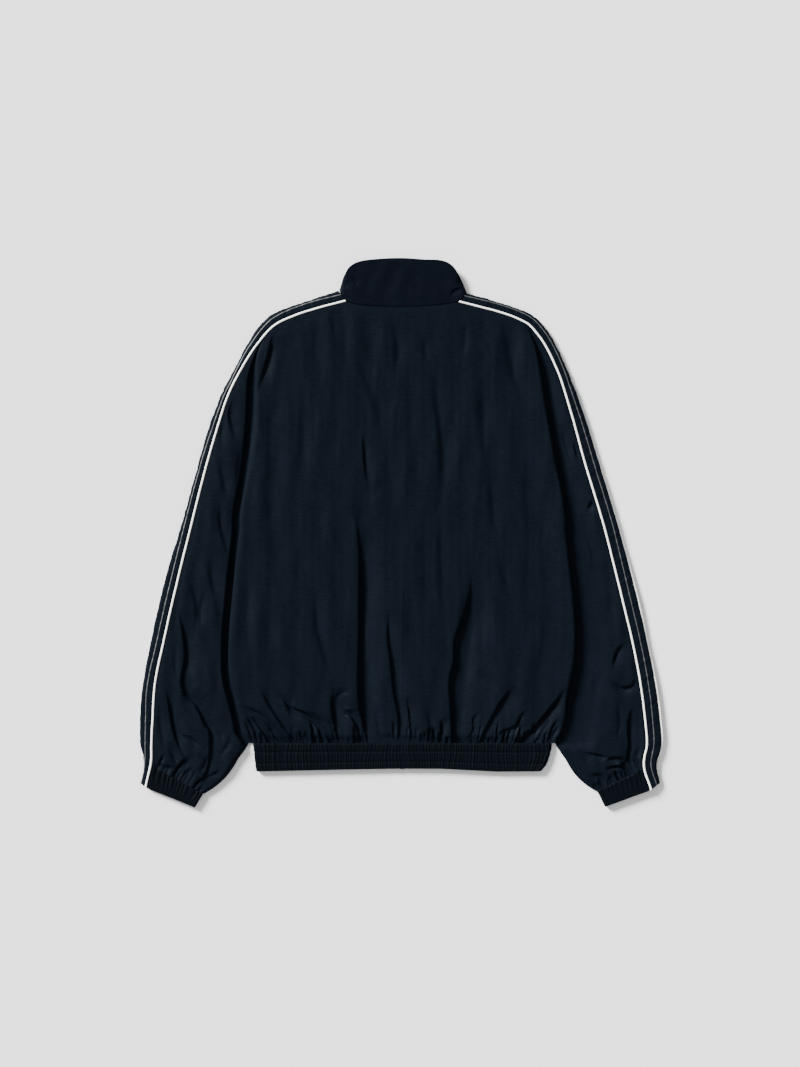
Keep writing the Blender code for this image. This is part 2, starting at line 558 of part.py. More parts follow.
def sleeve_panels(edge, side_out):
    """Back and front halves of a sleeve, from the armhole to the cuff seam."""
    name = "left" if edge.side == LEFT else "right"
    stations = range(edge.armhole, edge.cuff + 1)
    shares = (0.0, 0.12, 0.33, 0.58, 0.82, 1.0)
    bend_room, dip_room, lap = 20.0, 6.0, 4.0
    rows, front_rows = [], []
    for n, k in enumerate(stations):
        key = edge.stations[k] - (GAP if k == edge.cuff else 0.0)
        outer = edge.offset(key, edge.read("piping", key) + PIPING_ROOM)
        inner = edge.inner_back[n]
        length = float(np.linalg.norm(inner - outer))
        seen = visible_share(outer, inner, side_out)
        bend = max(seen - bend_room / length, 0.72 * seen)
        tucked = (mix(bend, 1, 0.4), mix(bend, 1, 0.75))
        if seen < 1:
            tucked = (seen - dip_room / length, seen + lap / length)
        stops = [bend * s for s in shares] + [*tucked, 1.0]
        rows.append([(*along(outer, inner, s), edge.read("rise", key), s) for s in stops])
        front_outer = edge.offset(key, edge.front_reach(key))
        front_inner = edge.inner_front[n]
        front_rows.append([along(front_outer, front_inner, s) for s in (0.0, 0.3, 0.7, 1.0)])
    grid = np.array(rows)
    out, down, rise, share = (grid[..., n] for n in range(4))
    width = np.hypot(out - out[:, :1], down - down[:, :1])[:, -1:]
    from_outer, from_inner = share * width, (1 - share) * width
    floor_level = CLOTH + GAP
    fall_start, fold_fade, wrist_slant, wrist_run = 30.0, 10.0, 45.0, 40.0
    below_arm = ease((down - UNDERARM_DOWN + fall_start) / fall_start)
    under_body = side_out(down) - out                   # positive below the side of the body
    hidden = below_arm * ease((under_body + TUCK_START) / TUCK_RUN) * (down < HEM_DOWN + 8.0)
    seam_height = mix(SEAM_HEIGHT, floor_level, ease((down - UNDERARM_DOWN + SEAM_FALL) / SEAM_FALL))
    crown = rise - CLOTH + SWELL * np.sin(np.pi * share) * np.clip(width / SWELL_WIDTH, 0, 1)
    folds = fold_heights(SLEEVE_FOLDS[edge.side], out, down)
    folds *= np.clip(from_outer / fold_fade, 0, 1) * np.clip(from_inner / fold_fade, 0, 1)
    gathers = WRIST_GATHER * np.cos(np.pi * np.arange(grid.shape[1]))[None, :]
    gathers = gathers * ease((down - WRIST_GATHER_DOWN - wrist_slant * share) / wrist_run)
    body = np.maximum(crown + folds + gathers * (share > 0.01), floor_level + SLEEVE_LEAST)
    low = mix(seam_height, body, shoulder(from_inner / np.minimum(SLEEVE_SHOULDER, 0.8 * width)))
    low = mix(rise - CLOTH, low, ease(from_outer / np.minimum(SLEEVE_LEVEL, 0.5 * width)))
    low = mix(low, floor_level, hidden)
    low = np.maximum(low, floor_level)
    points = np.stack([edge.side * out, down, low], axis=-1)
    wall(f"sleeve_back_{name}", thicken(points, CLOTH), points, NYLON)
    flat = np.array(front_rows)
    floor = np.stack([edge.side * flat[..., 0], flat[..., 1], np.zeros(flat.shape[:2])], axis=-1)
    wall(f"sleeve_front_{name}", floor + (0, 0, CLOTH), floor, NYLON)


def side_line(side):
    name = "left" if side == LEFT else "right"
    keys, values = column(SIDE, SIDE_COLUMNS, "down"), column(SIDE, SIDE_COLUMNS, name)
    return lambda down: curve(keys, values, down)


def inner_line(edge):
    """Distance out of the sleeve's hidden inner fold, by distance down."""
    rows = edge.inner_back[ARMHOLE_STEPS:]
    downs, outs = [r[1] for r in rows], [r[0] for r in rows]
    return lambda down: np.interp(down, downs, outs)


def body_edge_rows(inner, side_out, steps):
    """Out and down of the body's edge: along the armhole, then along the side."""
    rows = [np.array(p) for p in inner[:ARMHOLE_STEPS + 1]]
    downs = np.linspace(rows[-1][1], HEM_DOWN - GAP, steps + 1)[1:]
    rows += [np.array((float(side_out(d)), d)) for d in downs]
    line = np.array(rows)
    turn = np.gradient(line, axis=0)
    turn /= np.linalg.norm(turn, axis=1)[:, None]
    seam = line + SEAM_GAP * np.stack([-turn[:, 1], turn[:, 0]], axis=1)
    seam[-1, 1] = line[-1, 1]
    return [tuple(point) for point in seam]


def cover(edge, down, edge_out):
    """How far in from its edge the body lies on the sleeve."""
    return np.maximum(edge_out - inner_line(edge)(down), 0.0) + COVER_MARGIN


def front_height(x, down, edge, edge_out):
    """Underside of a front: on the floor, over the sleeve's hidden part, and up to the zip."""
    inside = edge_out - edge.side * x
    over = ease((cover(edge, down, edge_out) + COVER_FALL - inside) / COVER_FALL)
    start, run = 16.0, 14.0
    over = over * ease((down - UNDERARM_DOWN + start) / run)
    return SLEEVE_LAYERS * over + zip_tent(x, down)


def front_panel(edge, side_out):
    side = edge.side
    name = "left" if side == LEFT else "right"
    off_piping, off_collar, settle_start, settle_run = 0.8, 1.0, 250.0, 140.0
    sides = body_edge_rows(edge.inner_front, side_out, FRONT_STEPS)
    top = [sides[0]]
    for k in (edge.armhole - 2, edge.armhole - 5, edge.armhole - 8, 2):
        key = edge.stations[k]
        top.append(tuple(edge.offset(key, edge.front_reach(key) + off_piping)))
    rows = COLLAR_FRONT[side]
    turns = list(range(len(rows)))
    for turn in (0.7, 1.3, 1.9, 2.4):
        base_x = float(curve(turns, column(rows, COLLAR_COLUMNS, "base_x"), turn))
        base_down = float(curve(turns, column(rows, COLLAR_COLUMNS, "base_down"), turn))
        top.append((side * base_x, base_down + off_collar))
    for away in (ZIP_PLATEAU, ZIP_EDGE):
        top.append((side * ZIP_X + away, rows[-1][1] + GAP * 2))
    start = top[0][0]
    end = top[-1][0]
    grid = []
    for edge_out, edge_down in sides:
        share_down = (edge_down - sides[0][1]) / (sides[-1][1] - sides[0][1])
        clear = SEAM_CLEAR if share_down > 0 else 0.0
        covered = float(cover(edge, edge_down, edge_out))
        bends = (0.0, covered / 2, covered - COVER_MARGIN / 3, covered + COVER_FALL)
        settled = float(ease((edge_down - settle_start) / settle_run))
        row = []
        for n, (out, down) in enumerate(top):
            here = mix(edge_out, end, max((start - out) / (start - end), clear * n))
            if n < len(bends):
                here = mix(here, edge_out - bends[n], settled)
            row.append((here, mix(down, HEM_DOWN - GAP, share_down), edge_out))
        grid.append(row)
    grid = np.array(grid)
    x, down = side * grid[..., 0], grid[..., 1]
    low = front_height(x, down, edge, grid[..., 2])
    points = np.stack([x, down, low], axis=-1)
    high = points + (0, 0, CLOTH)
    wall(f"front_{name}", high, points, NYLON)


def back_panel(edges, side_outs):
    sides = {s: body_edge_rows(edges[s].inner_back, side_outs[s], BACK_STEPS) for s in edges}
    top_rows = {}
    for side, edge in edges.items():
        corner = sides[side][0]
        run = [(side * corner[0], corner[1], edge.read("rise", edge.stations[edge.armhole]))]
        for k in range(edge.armhole - 1, -1, -1):
            key = edge.stations[k]
            out, down = edge.offset(key, edge.read("piping", key) + PIPING_ROOM)
            run.append((side * out, down + (1.0 if k == 0 else 0.0), edge.read("rise", key)))
        top_rows[side] = run
    turns = np.linspace(1.35, 6.75, 17)
    rows = range(len(COLLAR_BACK))
    neck = [(float(curve(rows, column(COLLAR_BACK, COLLAR_COLUMNS, "base_x"), t)),
             float(curve(rows, column(COLLAR_BACK, COLLAR_COLUMNS, "base_down"), t)) + GAP * 2,
             2 * COLLAR_RADIUS) for t in turns]
    top = top_rows[LEFT] + neck + top_rows[RIGHT][::-1]
    first, last = top[0][0], top[-1][0]
    grid = []
    count = len(sides[LEFT])
    for n in range(count):
        left, right = sides[LEFT][n], sides[RIGHT][n]
        row = []
        for x_top, down_top, rise in top:
            share = (x_top - first) / (last - first)
            x = mix(-left[0], right[0], share)
            fall_left = (left[1] - sides[LEFT][0][1]) / (sides[LEFT][-1][1] - sides[LEFT][0][1])
            fall_right = (right[1] - sides[RIGHT][0][1]) / (sides[RIGHT][-1][1] - sides[RIGHT][0][1])
            fall = mix(fall_left, fall_right, share)
            row.append((x, mix(down_top, HEM_DOWN - GAP, fall), rise, down_top, -left[0], right[0]))
        grid.append(row)
    grid = np.array(grid)
    x, down, rise, down_top, left_x, right_x = (grid[..., n] for n in range(6))
    from_side = np.minimum(x - left_x, right_x - x)
    from_top, from_hem = down - down_top, HEM_DOWN - down
    below_arm = ease((down - UNDERARM_DOWN + SEAM_FALL) / SEAM_FALL)
    edge_height = mix(SEAM_HEIGHT, SLEEVE_LAYERS + BACK_OVER_FRONT, below_arm)
    body = BACK_HEIGHT + BACK_SWELL * ease(from_side / SWELL_REACH) + fold_heights(BACK_FOLDS, x, down)
    waves = HEM_GATHER * np.cos(np.pi * np.arange(len(top)))[None, :]
    waves = waves * ease((HEM_GATHER_START - from_hem) / HEM_GATHER_RUN)
    body = body + waves * (from_side > 1.0)
    over_zip, seam_share = 0.8, 0.999
    tent = zip_tent(x, down) + CHAIN_THICK + 2 * GAP + TAPE_CLOTH + over_zip
    low = np.maximum(body, tent)
    low = mix(HEM_SEAM_HEIGHT + 0.5 * waves, low, ease(from_hem / HEM_SEAM_RUN) * seam_share)
    low = mix(edge_height, low, shoulder(from_side / BACK_SHOULDER))
    corner = ease((CORNER_FALL - from_side) / CORNER_FALL) * (from_top > 0.5)
    top_height = mix(rise - CLOTH, edge_height, corner)
    low = mix(top_height, low, ease(from_top / SHOULDER_FALL))
    for side, edge in edges.items():
        edge_out = -left_x if side == LEFT else right_x
        under = front_height(x, down, edge, edge_out) + BACK_OVER_FRONT + 0.1
        low = np.maximum(low, np.where(side * (x - ZIP_X) >= 0, under, 0.0))
    points = np.stack([x, down, low], axis=-1)
    wall("back", thicken(points, CLOTH), points, NYLON)


# ---------------------------------------------------------------- folded bands: collar, hem, cuffs

def fold_columns(base, top, outward, radius, thickness, turns):
    """Columns round one fold of a flattened band, from turn to turn in degrees."""
    outward = np.array(outward) / np.linalg.norm(outward)
    return [dict(base=np.array(base) - outward * radius, top=np.array(top) - outward * radius,
                 out=outward, turn=math.radians(t), radius=radius, cloth=thickness) for t in turns]


def flat_column(base, top, radius, thickness, upper, crest=0.0):
    return dict(base=np.array(base, float), top=np.array(top, float), out=np.zeros(2),
                turn=math.radians(90 if upper else -90), radius=radius, cloth=thickness, crest=crest)


def band_point(col, share, inside, crest_share=0.0):
    plan = mix(col["base"], col["top"], share)
    depth = col["cloth"] if inside else -col.get("crest", 0.0) * crest_share
    reach = col["radius"] - depth
    plan = plan + col["out"] * reach * math.cos(col["turn"])
    height = col["radius"] + reach * math.sin(col["turn"])
    lift = float(zip_tent(plan[0], plan[1])) if col["turn"] < -1.5 else 0.0
    return (float(plan[0]), float(plan[1]), height + lift)


def band(name, outer_columns, inner_columns, outer_shares, inner_shares, finish, crests=None):
    crests = crests or [0.0] * len(outer_shares)
    outer = [[band_point(c, s, False, k) for c in outer_columns] for s, k in zip(outer_shares, crests)]
    inner = [[band_point(c, s, True) for c in inner_columns] for s in inner_shares]
    wall(name, outer, inner, finish)


FOLD_TURNS = (-90, -45, 0, 45, 90)


def collar():
    def at(rows, turn):
        turns = list(range(len(rows)))
        x, d, tx, td = (float(curve(turns, column(rows, COLLAR_COLUMNS, n), turn)) for n in COLLAR_COLUMNS)
        return (x, d), (tx, td)

    columns = []
    zip_end, thinning = 2.9, 1.2      # turns over which the collar thins towards the zip
    for turn in (3.0, 2.72, 2.4, 1.9, 1.3, 0.7):
        cloth = mix(CLOTH, COLLAR_CLOTH, ease((zip_end - turn) / thinning))
        columns.append(flat_column(*at(COLLAR_FRONT[LEFT], turn), COLLAR_RADIUS, cloth, False))
    columns += fold_columns(*at(COLLAR_BACK, 0), (-1.0, 0.15), COLLAR_RADIUS, COLLAR_CLOTH, FOLD_TURNS)
    for turn in np.linspace(1.0, 7.0, 19):
        columns.append(flat_column(*at(COLLAR_BACK, turn), COLLAR_RADIUS, COLLAR_CLOTH, True))
    columns += fold_columns(*at(COLLAR_BACK, 8), (1.0, 0.15), COLLAR_RADIUS, COLLAR_CLOTH,
                            FOLD_TURNS[::-1])
    for turn in (0.7, 1.3, 1.9, 2.4, 2.72, 3.0):
        cloth = mix(CLOTH, COLLAR_CLOTH, ease((zip_end - turn) / thinning))
        columns.append(flat_column(*at(COLLAR_FRONT[RIGHT], turn), COLLAR_RADIUS, cloth, False))
    shares = (0.0, 0.25, 0.6, 1.0)
    band("collar", columns, columns, shares, shares, FACED)


def ribbed_columns(make, count, crest):
    """Upper columns between two folds: a crest in the middle of each rib, a groove between ribs."""
    return [make(n / (2 * count), crest if n % 2 else 0.0) for n in range(1, 2 * count)]


def hem_band():
    depths = column(HEM, HEM_COLUMNS, "depth")

    def sil(side, depth):
        name = "left_x" if side == LEFT else "right_x"
        return float(curve(depths, column(HEM, HEM_COLUMNS, name), depth))

    def ends(x_top, x_low):
        return (x_top, HEM_DOWN + GAP), (x_low, HEM_DOWN + HEM_DEPTH)

    def upper(share, crest):
        x_top = mix(sil(LEFT, 0) + HEM_RADIUS, sil(RIGHT, 0) - HEM_RADIUS, share)
        x_low = mix(sil(LEFT, HEM_DEPTH) + HEM_RADIUS, sil(RIGHT, HEM_DEPTH) - HEM_RADIUS, share)
        return flat_column(*ends(x_top, x_low), HEM_RADIUS, BAND_CLOTH, True, crest)

    def lower(side):
        columns = []
        for share in (0.0, 0.07, 0.2, 0.6, 0.97):
            start = ZIP_X + side * ZIP_EDGE
            x_top = mix(start, sil(side, 0) - side * HEM_RADIUS, share)
            x_low = mix(start, sil(side, HEM_DEPTH) - side * HEM_RADIUS, share)
            cloth = mix(CLOTH, BAND_CLOTH, ease((share - 0.08) / 0.3))
            columns.append(flat_column(*ends(x_top, x_low), HEM_RADIUS, cloth, False))
        return columns

    def fold(side, turns):
        base, top = ends(sil(side, 0), sil(side, HEM_DEPTH))
        return fold_columns(base, top, (side, 0.0), HEM_RADIUS, BAND_CLOTH, turns)

    def ring(middle):
        return (lower(LEFT) + fold(LEFT, FOLD_TURNS) + middle + fold(RIGHT, FOLD_TURNS[::-1])
                + lower(RIGHT)[::-1])

    ribbed = ring(ribbed_columns(upper, HEM_RIBS, RIB_HEIGHT))
    plain = ring([upper(n / 12, 0.0) for n in range(1, 12)])
    band("hem_band", ribbed, plain, (0.0, 0.12, 0.88, 1.0), (0.0, 1.0), ELASTIC, (0.3, 1.0, 1.0, 0.3))


def cuff(edge):
    """From the back piping over the top, round the inner fold and back below to the front piping."""
    side = edge.side
    name = "left" if side == LEFT else "right"
    seam, end = edge.stations[edge.cuff] + GAP, edge.stations[edge.end]

    def plan(point):
        return np.array((side * point[0], point[1]))

    def rim(key, reach, inner):
        return plan(edge.offset(key, reach)), plan(inner)

    seam_inner, end_inner = edge.inner_back[-1 - CUFF_STEPS] + (0.0, GAP), edge.inner_back[-1]
    seam_top = rim(seam, edge.read("piping", seam) + PIPING_ROOM, seam_inner)
    end_top = rim(end, edge.read("piping", end) + PIPING_ROOM, end_inner)
    seam_low = rim(seam, edge.front_reach(seam) + GAP, seam_inner)
    end_low = rim(end, edge.front_reach(end) + GAP, end_inner)
    outward = seam_top[1] - seam_top[0]
    outward = outward / np.linalg.norm(outward)

    def upper(share, crest):
        return flat_column(mix(seam_top[0], seam_top[1] - outward * CUFF_RADIUS, share),
                           mix(end_top[0], end_top[1] - outward * CUFF_RADIUS, share),
                           CUFF_RADIUS, BAND_CLOTH, True, crest)

    def lower(share):
        return flat_column(mix(seam_low[0], seam_low[1] - outward * CUFF_RADIUS, share),
                           mix(end_low[0], end_low[1] - outward * CUFF_RADIUS, share),
                           CUFF_RADIUS, BAND_CLOTH, False)

    fold = fold_columns(seam_top[1], end_top[1], outward, CUFF_RADIUS, BAND_CLOTH, FOLD_TURNS[::-1])
    below = [lower(share) for share in (0.95, 0.5, 0.0)]
    ribbed = [upper(0.0, 0.0)] + ribbed_columns(upper, CUFF_RIBS, RIB_HEIGHT) + fold + below
    plain = [upper(0.0, 0.0), upper(0.35, 0.0), upper(0.7, 0.0)] + fold + below
    band(f"cuff_{name}", ribbed, plain, (0.0, 0.15, 0.85, 1.0), (0.0, 1.0), ELASTIC, (0.3, 1.0, 1.0, 0.3))


# ---------------------------------------------------------------- zip

def block(name, x, down, z, finish):
    """A box from ranges of x, down and z, as eight corners."""
    corners = [(x[i], down[j], z[k]) for i in (0, 1) for j in (0, 1) for k in (0, 1)]
    faces = [(0, 1, 3, 2), (4, 6, 7, 5), (0, 4, 5, 1), (2, 3, 7, 6), (0, 2, 6, 4), (1, 5, 7, 3)]
    return add_object(name, corners, faces, finish)


def round_bar(name, radius, x_low, x_high, down, z, finish, sides=16):
    turns = [2 * math.pi * n / sides for n in range(sides)]
    rings = [[(x, down + radius * math.cos(a), z + radius * math.sin(a)) for a in turns]
             for x in (x_low, x_high)]
    return rod(name, rings, finish)


def combine(body, other, operation):
    """Apply one Boolean to body and drop the other shape."""
    modifier = body.modifiers.new("join", "BOOLEAN")
    modifier.operation = operation
    modifier.object = other
    shape = bpy.context.evaluated_depsgraph_get()
    shape.update()
    mesh = bpy.data.meshes.new_from_object(body.evaluated_get(shape))
    body.modifiers.clear()
    body.data = mesh
    bpy.data.objects.remove(other)


def zip_parts():
    zip_top = COLLAR_FRONT[LEFT][-1][3] + 0.5
    zip_end = HEM_DOWN + HEM_DEPTH - 1.0
    box_length = 9.0
    downs = [zip_top, SLIDER_TOP + SLIDER_LENGTH, 74.0, 88.0, 100.0, 120.0, 140.0]
    downs += list(np.linspace(200.0, zip_end - box_length - GAP, 7))
    for side, name in ((LEFT, "left"), (RIGHT, "right")):
        low, high = [], []
        for down in downs:
            level = float(zip_lift(down)) + CLOTH + GAP
            xs = [ZIP_X + side * (1.0 + TAPE_WIDTH * s) for s in (0.0, 1.0)]
            low.append([(x, down, level) for x in xs])
            high.append([(x, down, level + TAPE_CLOTH) for x in xs])
        wall(f"zip_tape_{name}", high, low, ZIP_PLASTIC)
    lift = float(zip_lift(SLIDER_TOP))
    post_length = 2.5
    rings = []
    for down in [SLIDER_TOP + 1.0 + post_length + GAP] + downs[1:]:
        level = float(zip_lift(down))
        rings.append([(ZIP_X + x, down, level + z) for x, z in (
            (-CHAIN_HALF, 0.0), (CHAIN_HALF, 0.0), (CHAIN_HALF, CHAIN_THICK), (-CHAIN_HALF, CHAIN_THICK))])
    rod("zip_chain", rings, ZIP_PLASTIC)
    box_low = float(zip_lift(zip_end)) - 0.3
    block("zip_box", (ZIP_X - ZIP_EDGE + GAP, ZIP_X + ZIP_EDGE - GAP), (zip_end - box_length, zip_end),
          (box_low, box_low + 2.9), ZIP_PLASTIC)
    slider(lift, post_length)
    pull_tab()


def slider(lift, post_length):
    """Two plates joined by a post at the head, with two ears and a pin below the outer plate."""
    down = (SLIDER_TOP, SLIDER_TOP + SLIDER_LENGTH)
    wide = (ZIP_X - SLIDER_HALF, ZIP_X + SLIDER_HALF)
    plate_top = lift - GAP
    inner_low = lift + CHAIN_THICK + GAP + TAPE_CLOTH + GAP
    body = block("zip_slider", wide, down, (plate_top - PLATE, plate_top), ZIP_METAL)
    inner = block("inner_plate", wide, down, (inner_low, inner_low + PLATE), ZIP_METAL)
    post_half, sunk = 0.65, 0.2
    post = block("post", (ZIP_X - post_half, ZIP_X + post_half),
                 (SLIDER_TOP + 1.0, SLIDER_TOP + 1.0 + post_length), (plate_top - sunk, inner_low + sunk),
                 ZIP_METAL)
    combine(body, post, "UNION")
    combine(body, inner, "UNION")
    middle = SLIDER_TOP + SLIDER_LENGTH / 2
    ear_in, ear_out, ear_half, below_pin = 2.6, 3.5, 1.2, 0.9
    for side in (LEFT, RIGHT):
        ear = block("ear", sorted((ZIP_X + side * ear_in, ZIP_X + side * ear_out)),
                    (middle - ear_half, middle + ear_half),
                    (PIN_HEIGHT - below_pin, plate_top - PLATE + sunk), ZIP_METAL)
        combine(body, ear, "UNION")
    pin_half = 3.0
    pin = round_bar("pin", PIN_RADIUS, ZIP_X - pin_half, ZIP_X + pin_half, middle, PIN_HEIGHT, ZIP_METAL)
    combine(body, pin, "UNION")


def pull_tab():
    middle = SLIDER_TOP + SLIDER_LENGTH / 2
    eye_half, thick, low = 2.3, 1.2, PIN_HEIGHT - EYE_RADIUS
    tab = round_bar("zip_pull", EYE_RADIUS, ZIP_X - eye_half, ZIP_X + eye_half, middle, PIN_HEIGHT, ZIP_METAL)
    neck_start, neck_end, shoulder_end, tip_round = 0.7, 2.6, 4.4, 3.0
    straight_end = TAB_LENGTH - tip_round
    outline = [(-eye_half, neck_start), (-eye_half, neck_end), (-TAB_HALF, shoulder_end),
               (-TAB_HALF, straight_end)]
    corner = [(TAB_HALF * math.cos(a), straight_end + tip_round * math.sin(a))
              for a in np.linspace(math.pi, 0, 9)[1:-1]]
    outline += corner + [(-x, d) for x, d in outline[::-1]]
    leaf = rod("leaf", [[(ZIP_X + x, middle + d, z) for x, d in outline] for z in (low, low + thick)],
               ZIP_METAL)
    combine(tab, leaf, "UNION")
    bore = round_bar("bore", EYE_BORE, ZIP_X - 2 * TAB_HALF, ZIP_X + 2 * TAB_HALF, middle, PIN_HEIGHT,
                     ZIP_METAL)
    combine(tab, bore, "DIFFERENCE")


def centre_on_floor():
    """Put the middle of the whole garment's outline exactly over the origin."""
    corners = np.array([v.co for obj in bpy.data.objects for v in obj.data.vertices])
    middle = (corners.min(axis=0) + corners.max(axis=0)) / 2
    for obj in bpy.data.objects:
        obj.data.transform(Matrix.Translation((-middle[0], -middle[1], 0.0)))
    print("shifted by", -middle[0] / MM, -middle[1] / MM, "mm")


def build():
    for obj in list(bpy.data.objects):
        bpy.data.objects.remove(obj)
    edges = {side: SleeveEdge(side) for side in (LEFT, RIGHT)}
    side_outs = {side: side_line(side) for side in (LEFT, RIGHT)}
    back_panel(edges, side_outs)
    for side, edge in edges.items():
        front_panel(edge, side_outs[side])
        sleeve_panels(edge, side_outs[side])
        strip(edge)
        cuff(edge)
    collar()
    hem_band()
    zip_parts()
    centre_on_floor()


build()
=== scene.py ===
# %% [markdown]
# # A track jacket, laid flat on its front
#
# A track jacket of crinkle nylon lies face down: the back, the sleeves and the collar's back show. Every
# piece that a maker cuts and sews is built by itself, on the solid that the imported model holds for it.
# Most pieces are cloth, so most cells work out a grid of points and close it into a thin shell.

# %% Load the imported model
import json
import math

import bmesh
import bpy
import numpy as np
from mathutils import Matrix


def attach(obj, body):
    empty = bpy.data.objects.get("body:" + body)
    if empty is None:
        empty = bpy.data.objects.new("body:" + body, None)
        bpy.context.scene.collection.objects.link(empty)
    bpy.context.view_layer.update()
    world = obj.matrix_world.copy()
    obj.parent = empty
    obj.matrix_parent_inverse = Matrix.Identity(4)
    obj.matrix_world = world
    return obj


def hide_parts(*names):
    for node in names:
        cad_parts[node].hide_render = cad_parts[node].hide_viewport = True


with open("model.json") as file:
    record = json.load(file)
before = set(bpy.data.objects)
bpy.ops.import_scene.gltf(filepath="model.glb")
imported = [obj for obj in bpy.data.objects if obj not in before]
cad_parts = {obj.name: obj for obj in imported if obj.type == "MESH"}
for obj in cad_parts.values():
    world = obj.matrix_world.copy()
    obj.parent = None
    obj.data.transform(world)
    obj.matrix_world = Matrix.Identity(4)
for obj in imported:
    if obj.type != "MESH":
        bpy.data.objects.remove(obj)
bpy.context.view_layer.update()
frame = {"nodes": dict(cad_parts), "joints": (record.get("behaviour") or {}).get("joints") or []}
bpy.ops.object.select_all(action="DESELECT")

# %% [markdown]
# ## Measures
#
# A pattern cutter works in millimetres down from the top of the collar and out from the centre line. The
# cells keep that frame, and one function turns it to Blender's metres. The zip's pull tab hangs on a
# hinge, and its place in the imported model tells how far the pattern's centre line lies from the origin.

# %% Measures and the step to metres
MM = 0.001
LENGTH = 796.0              # top of the collar to the tips of the cuffs
HEM_DOWN = 702.5            # seam between the body and the hem casing
HEM_DEPTH = 38.5
UNDERARM_DOWN = 393.0
ZIP_X = 3.0
LEFT, RIGHT = -1.0, 1.0
NAMES = {LEFT: "left", RIGHT: "right"}
CENTRE_SHIFT = frame["joints"][0]["pos_m"][0] / MM - ZIP_X

WALL = 1.4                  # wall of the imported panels
GAP = 0.3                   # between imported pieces
CLOTH = 0.5                 # a panel of crinkle nylon as it is drawn
LAYERS_UNDER = 3.4          # height of the fronts where they lie on a sleeve


def to_world(points):
    """Pattern points (x, down, z) in millimetres to metres, collar towards +Y."""
    points = np.asarray(points, float).reshape(-1, 3)
    return np.stack([points[:, 0] + CENTRE_SHIFT, LENGTH / 2 - points[:, 1], points[:, 2]], axis=1) * MM


print("centre shift", round(CENTRE_SHIFT, 3), "mm")

# %% [markdown]
# ## Camera
#
# The jacket is seen from straight above, so the camera hangs over it with a long lens, which keeps the
# near and far sides of the frame at one scale.

# %% Camera
PIXEL = 1.45                # millimetres of the jacket in one picture element
PICTURE = (800, 1067)
LOOK_AT = (-0.7, 398.7)     # x and down under the middle of the picture
LENS = 100.0
SENSOR = 36.0
camera_height = PICTURE[1] * PIXEL * MM * LENS / SENSOR
look_x, look_y, _ = to_world([(*LOOK_AT, 0.0)])[0]
bpy.ops.object.camera_add(location=(look_x, look_y, camera_height), rotation=(0, 0, 0))
camera = bpy.context.object
camera.name = "camera"
camera.data.lens = LENS
camera.data.sensor_width = SENSOR
bpy.context.scene.camera = camera
print("camera at", round(camera_height, 3), "m")
# %% [markdown]
# ## Colours and nodes
#
# Colours are written as a web page writes them, and one function turns them into the linear values that
# Blender works in. Another adds a node, sets its sockets and links it.


# %% Colours and nodes
def linear(hex_code):
    """An sRGB hex colour as the linear colour that Blender's nodes take."""
    parts = [int(hex_code[n:n + 2], 16) / 255 for n in (1, 3, 5)]
    return [p / 12.92 if p <= 0.04045 else ((p + 0.055) / 1.055) ** 2.4 for p in parts] + [1.0]


def add_node(tree, kind, settings=None, **links):
    """Add a node, set its sockets and properties, and link its inputs, named with _ for a space."""
    made = tree.nodes.new(kind)
    for name, value in (settings or {}).items():
        if name in made.inputs:
            made.inputs[name].default_value = value
        else:
            setattr(made, name, value)
    for name, socket in links.items():
        tree.links.new(socket, made.inputs[name.replace("_", " ")])
    return made


def new_material(name, colour, roughness, **more):
    """A Principled material; more are values of its other sockets."""
    mat = bpy.data.materials.new(name)
    mat.use_nodes = True
    shader = mat.node_tree.nodes["Principled BSDF"]
    settings = {"Base Color": linear(colour), "Roughness": roughness, **more}
    for key, value in settings.items():
        shader.inputs[key].default_value = value
    mat.diffuse_color = linear(colour)
    return mat, mat.node_tree, shader


# %% [markdown]
# ## Floor and light
#
# The floor is a pale sheet of studio paper. A sun lamp with a wide disc gives the soft light of a large
# window. It comes from over the left shoulder, 26 degrees high, with a bright room around it: it fills
# the folds with shade on one side, and leaves a thin soft shadow below the hem and along the right.

# %% Floor
FLOOR_SIDE = 14             # metres
paper = new_material("studio_paper", "#e2e2e2", 0.95)[0]
bpy.ops.mesh.primitive_plane_add(size=1.0, location=(0, 0, -0.0004))
floor = bpy.context.object
floor.name = "floor"
floor.scale = (FLOOR_SIDE, FLOOR_SIDE, 1)
bpy.ops.object.transform_apply(location=True, rotation=True, scale=True)
floor.data.materials.append(paper)
print("floor:", FLOOR_SIDE, "m wide")

# %% Lights
KEY_FROM = (-0.76, 0.65)    # towards the light, over the collar and a little to the left
KEY_HEIGHT = math.radians(26)
KEY_WIDTH = math.radians(18)
KEY_STRENGTH, ROOM_STRENGTH = 17.3, 0.9
bpy.ops.object.light_add(type="SUN", location=(-2, 2, 3))
key_light = bpy.context.object
key_light.name = "key_light"
key_light.data.energy = KEY_STRENGTH
key_light.data.angle = KEY_WIDTH
key_light.rotation_euler = (math.pi / 2 - KEY_HEIGHT, 0, math.atan2(-KEY_FROM[0], KEY_FROM[1]) + math.pi)
world = bpy.data.worlds.new("studio")
bpy.context.scene.world = world
world.use_nodes = True
world.node_tree.nodes["Background"].inputs["Color"].default_value = linear("#fbfcfd")
world.node_tree.nodes["Background"].inputs["Strength"].default_value = ROOM_STRENGTH
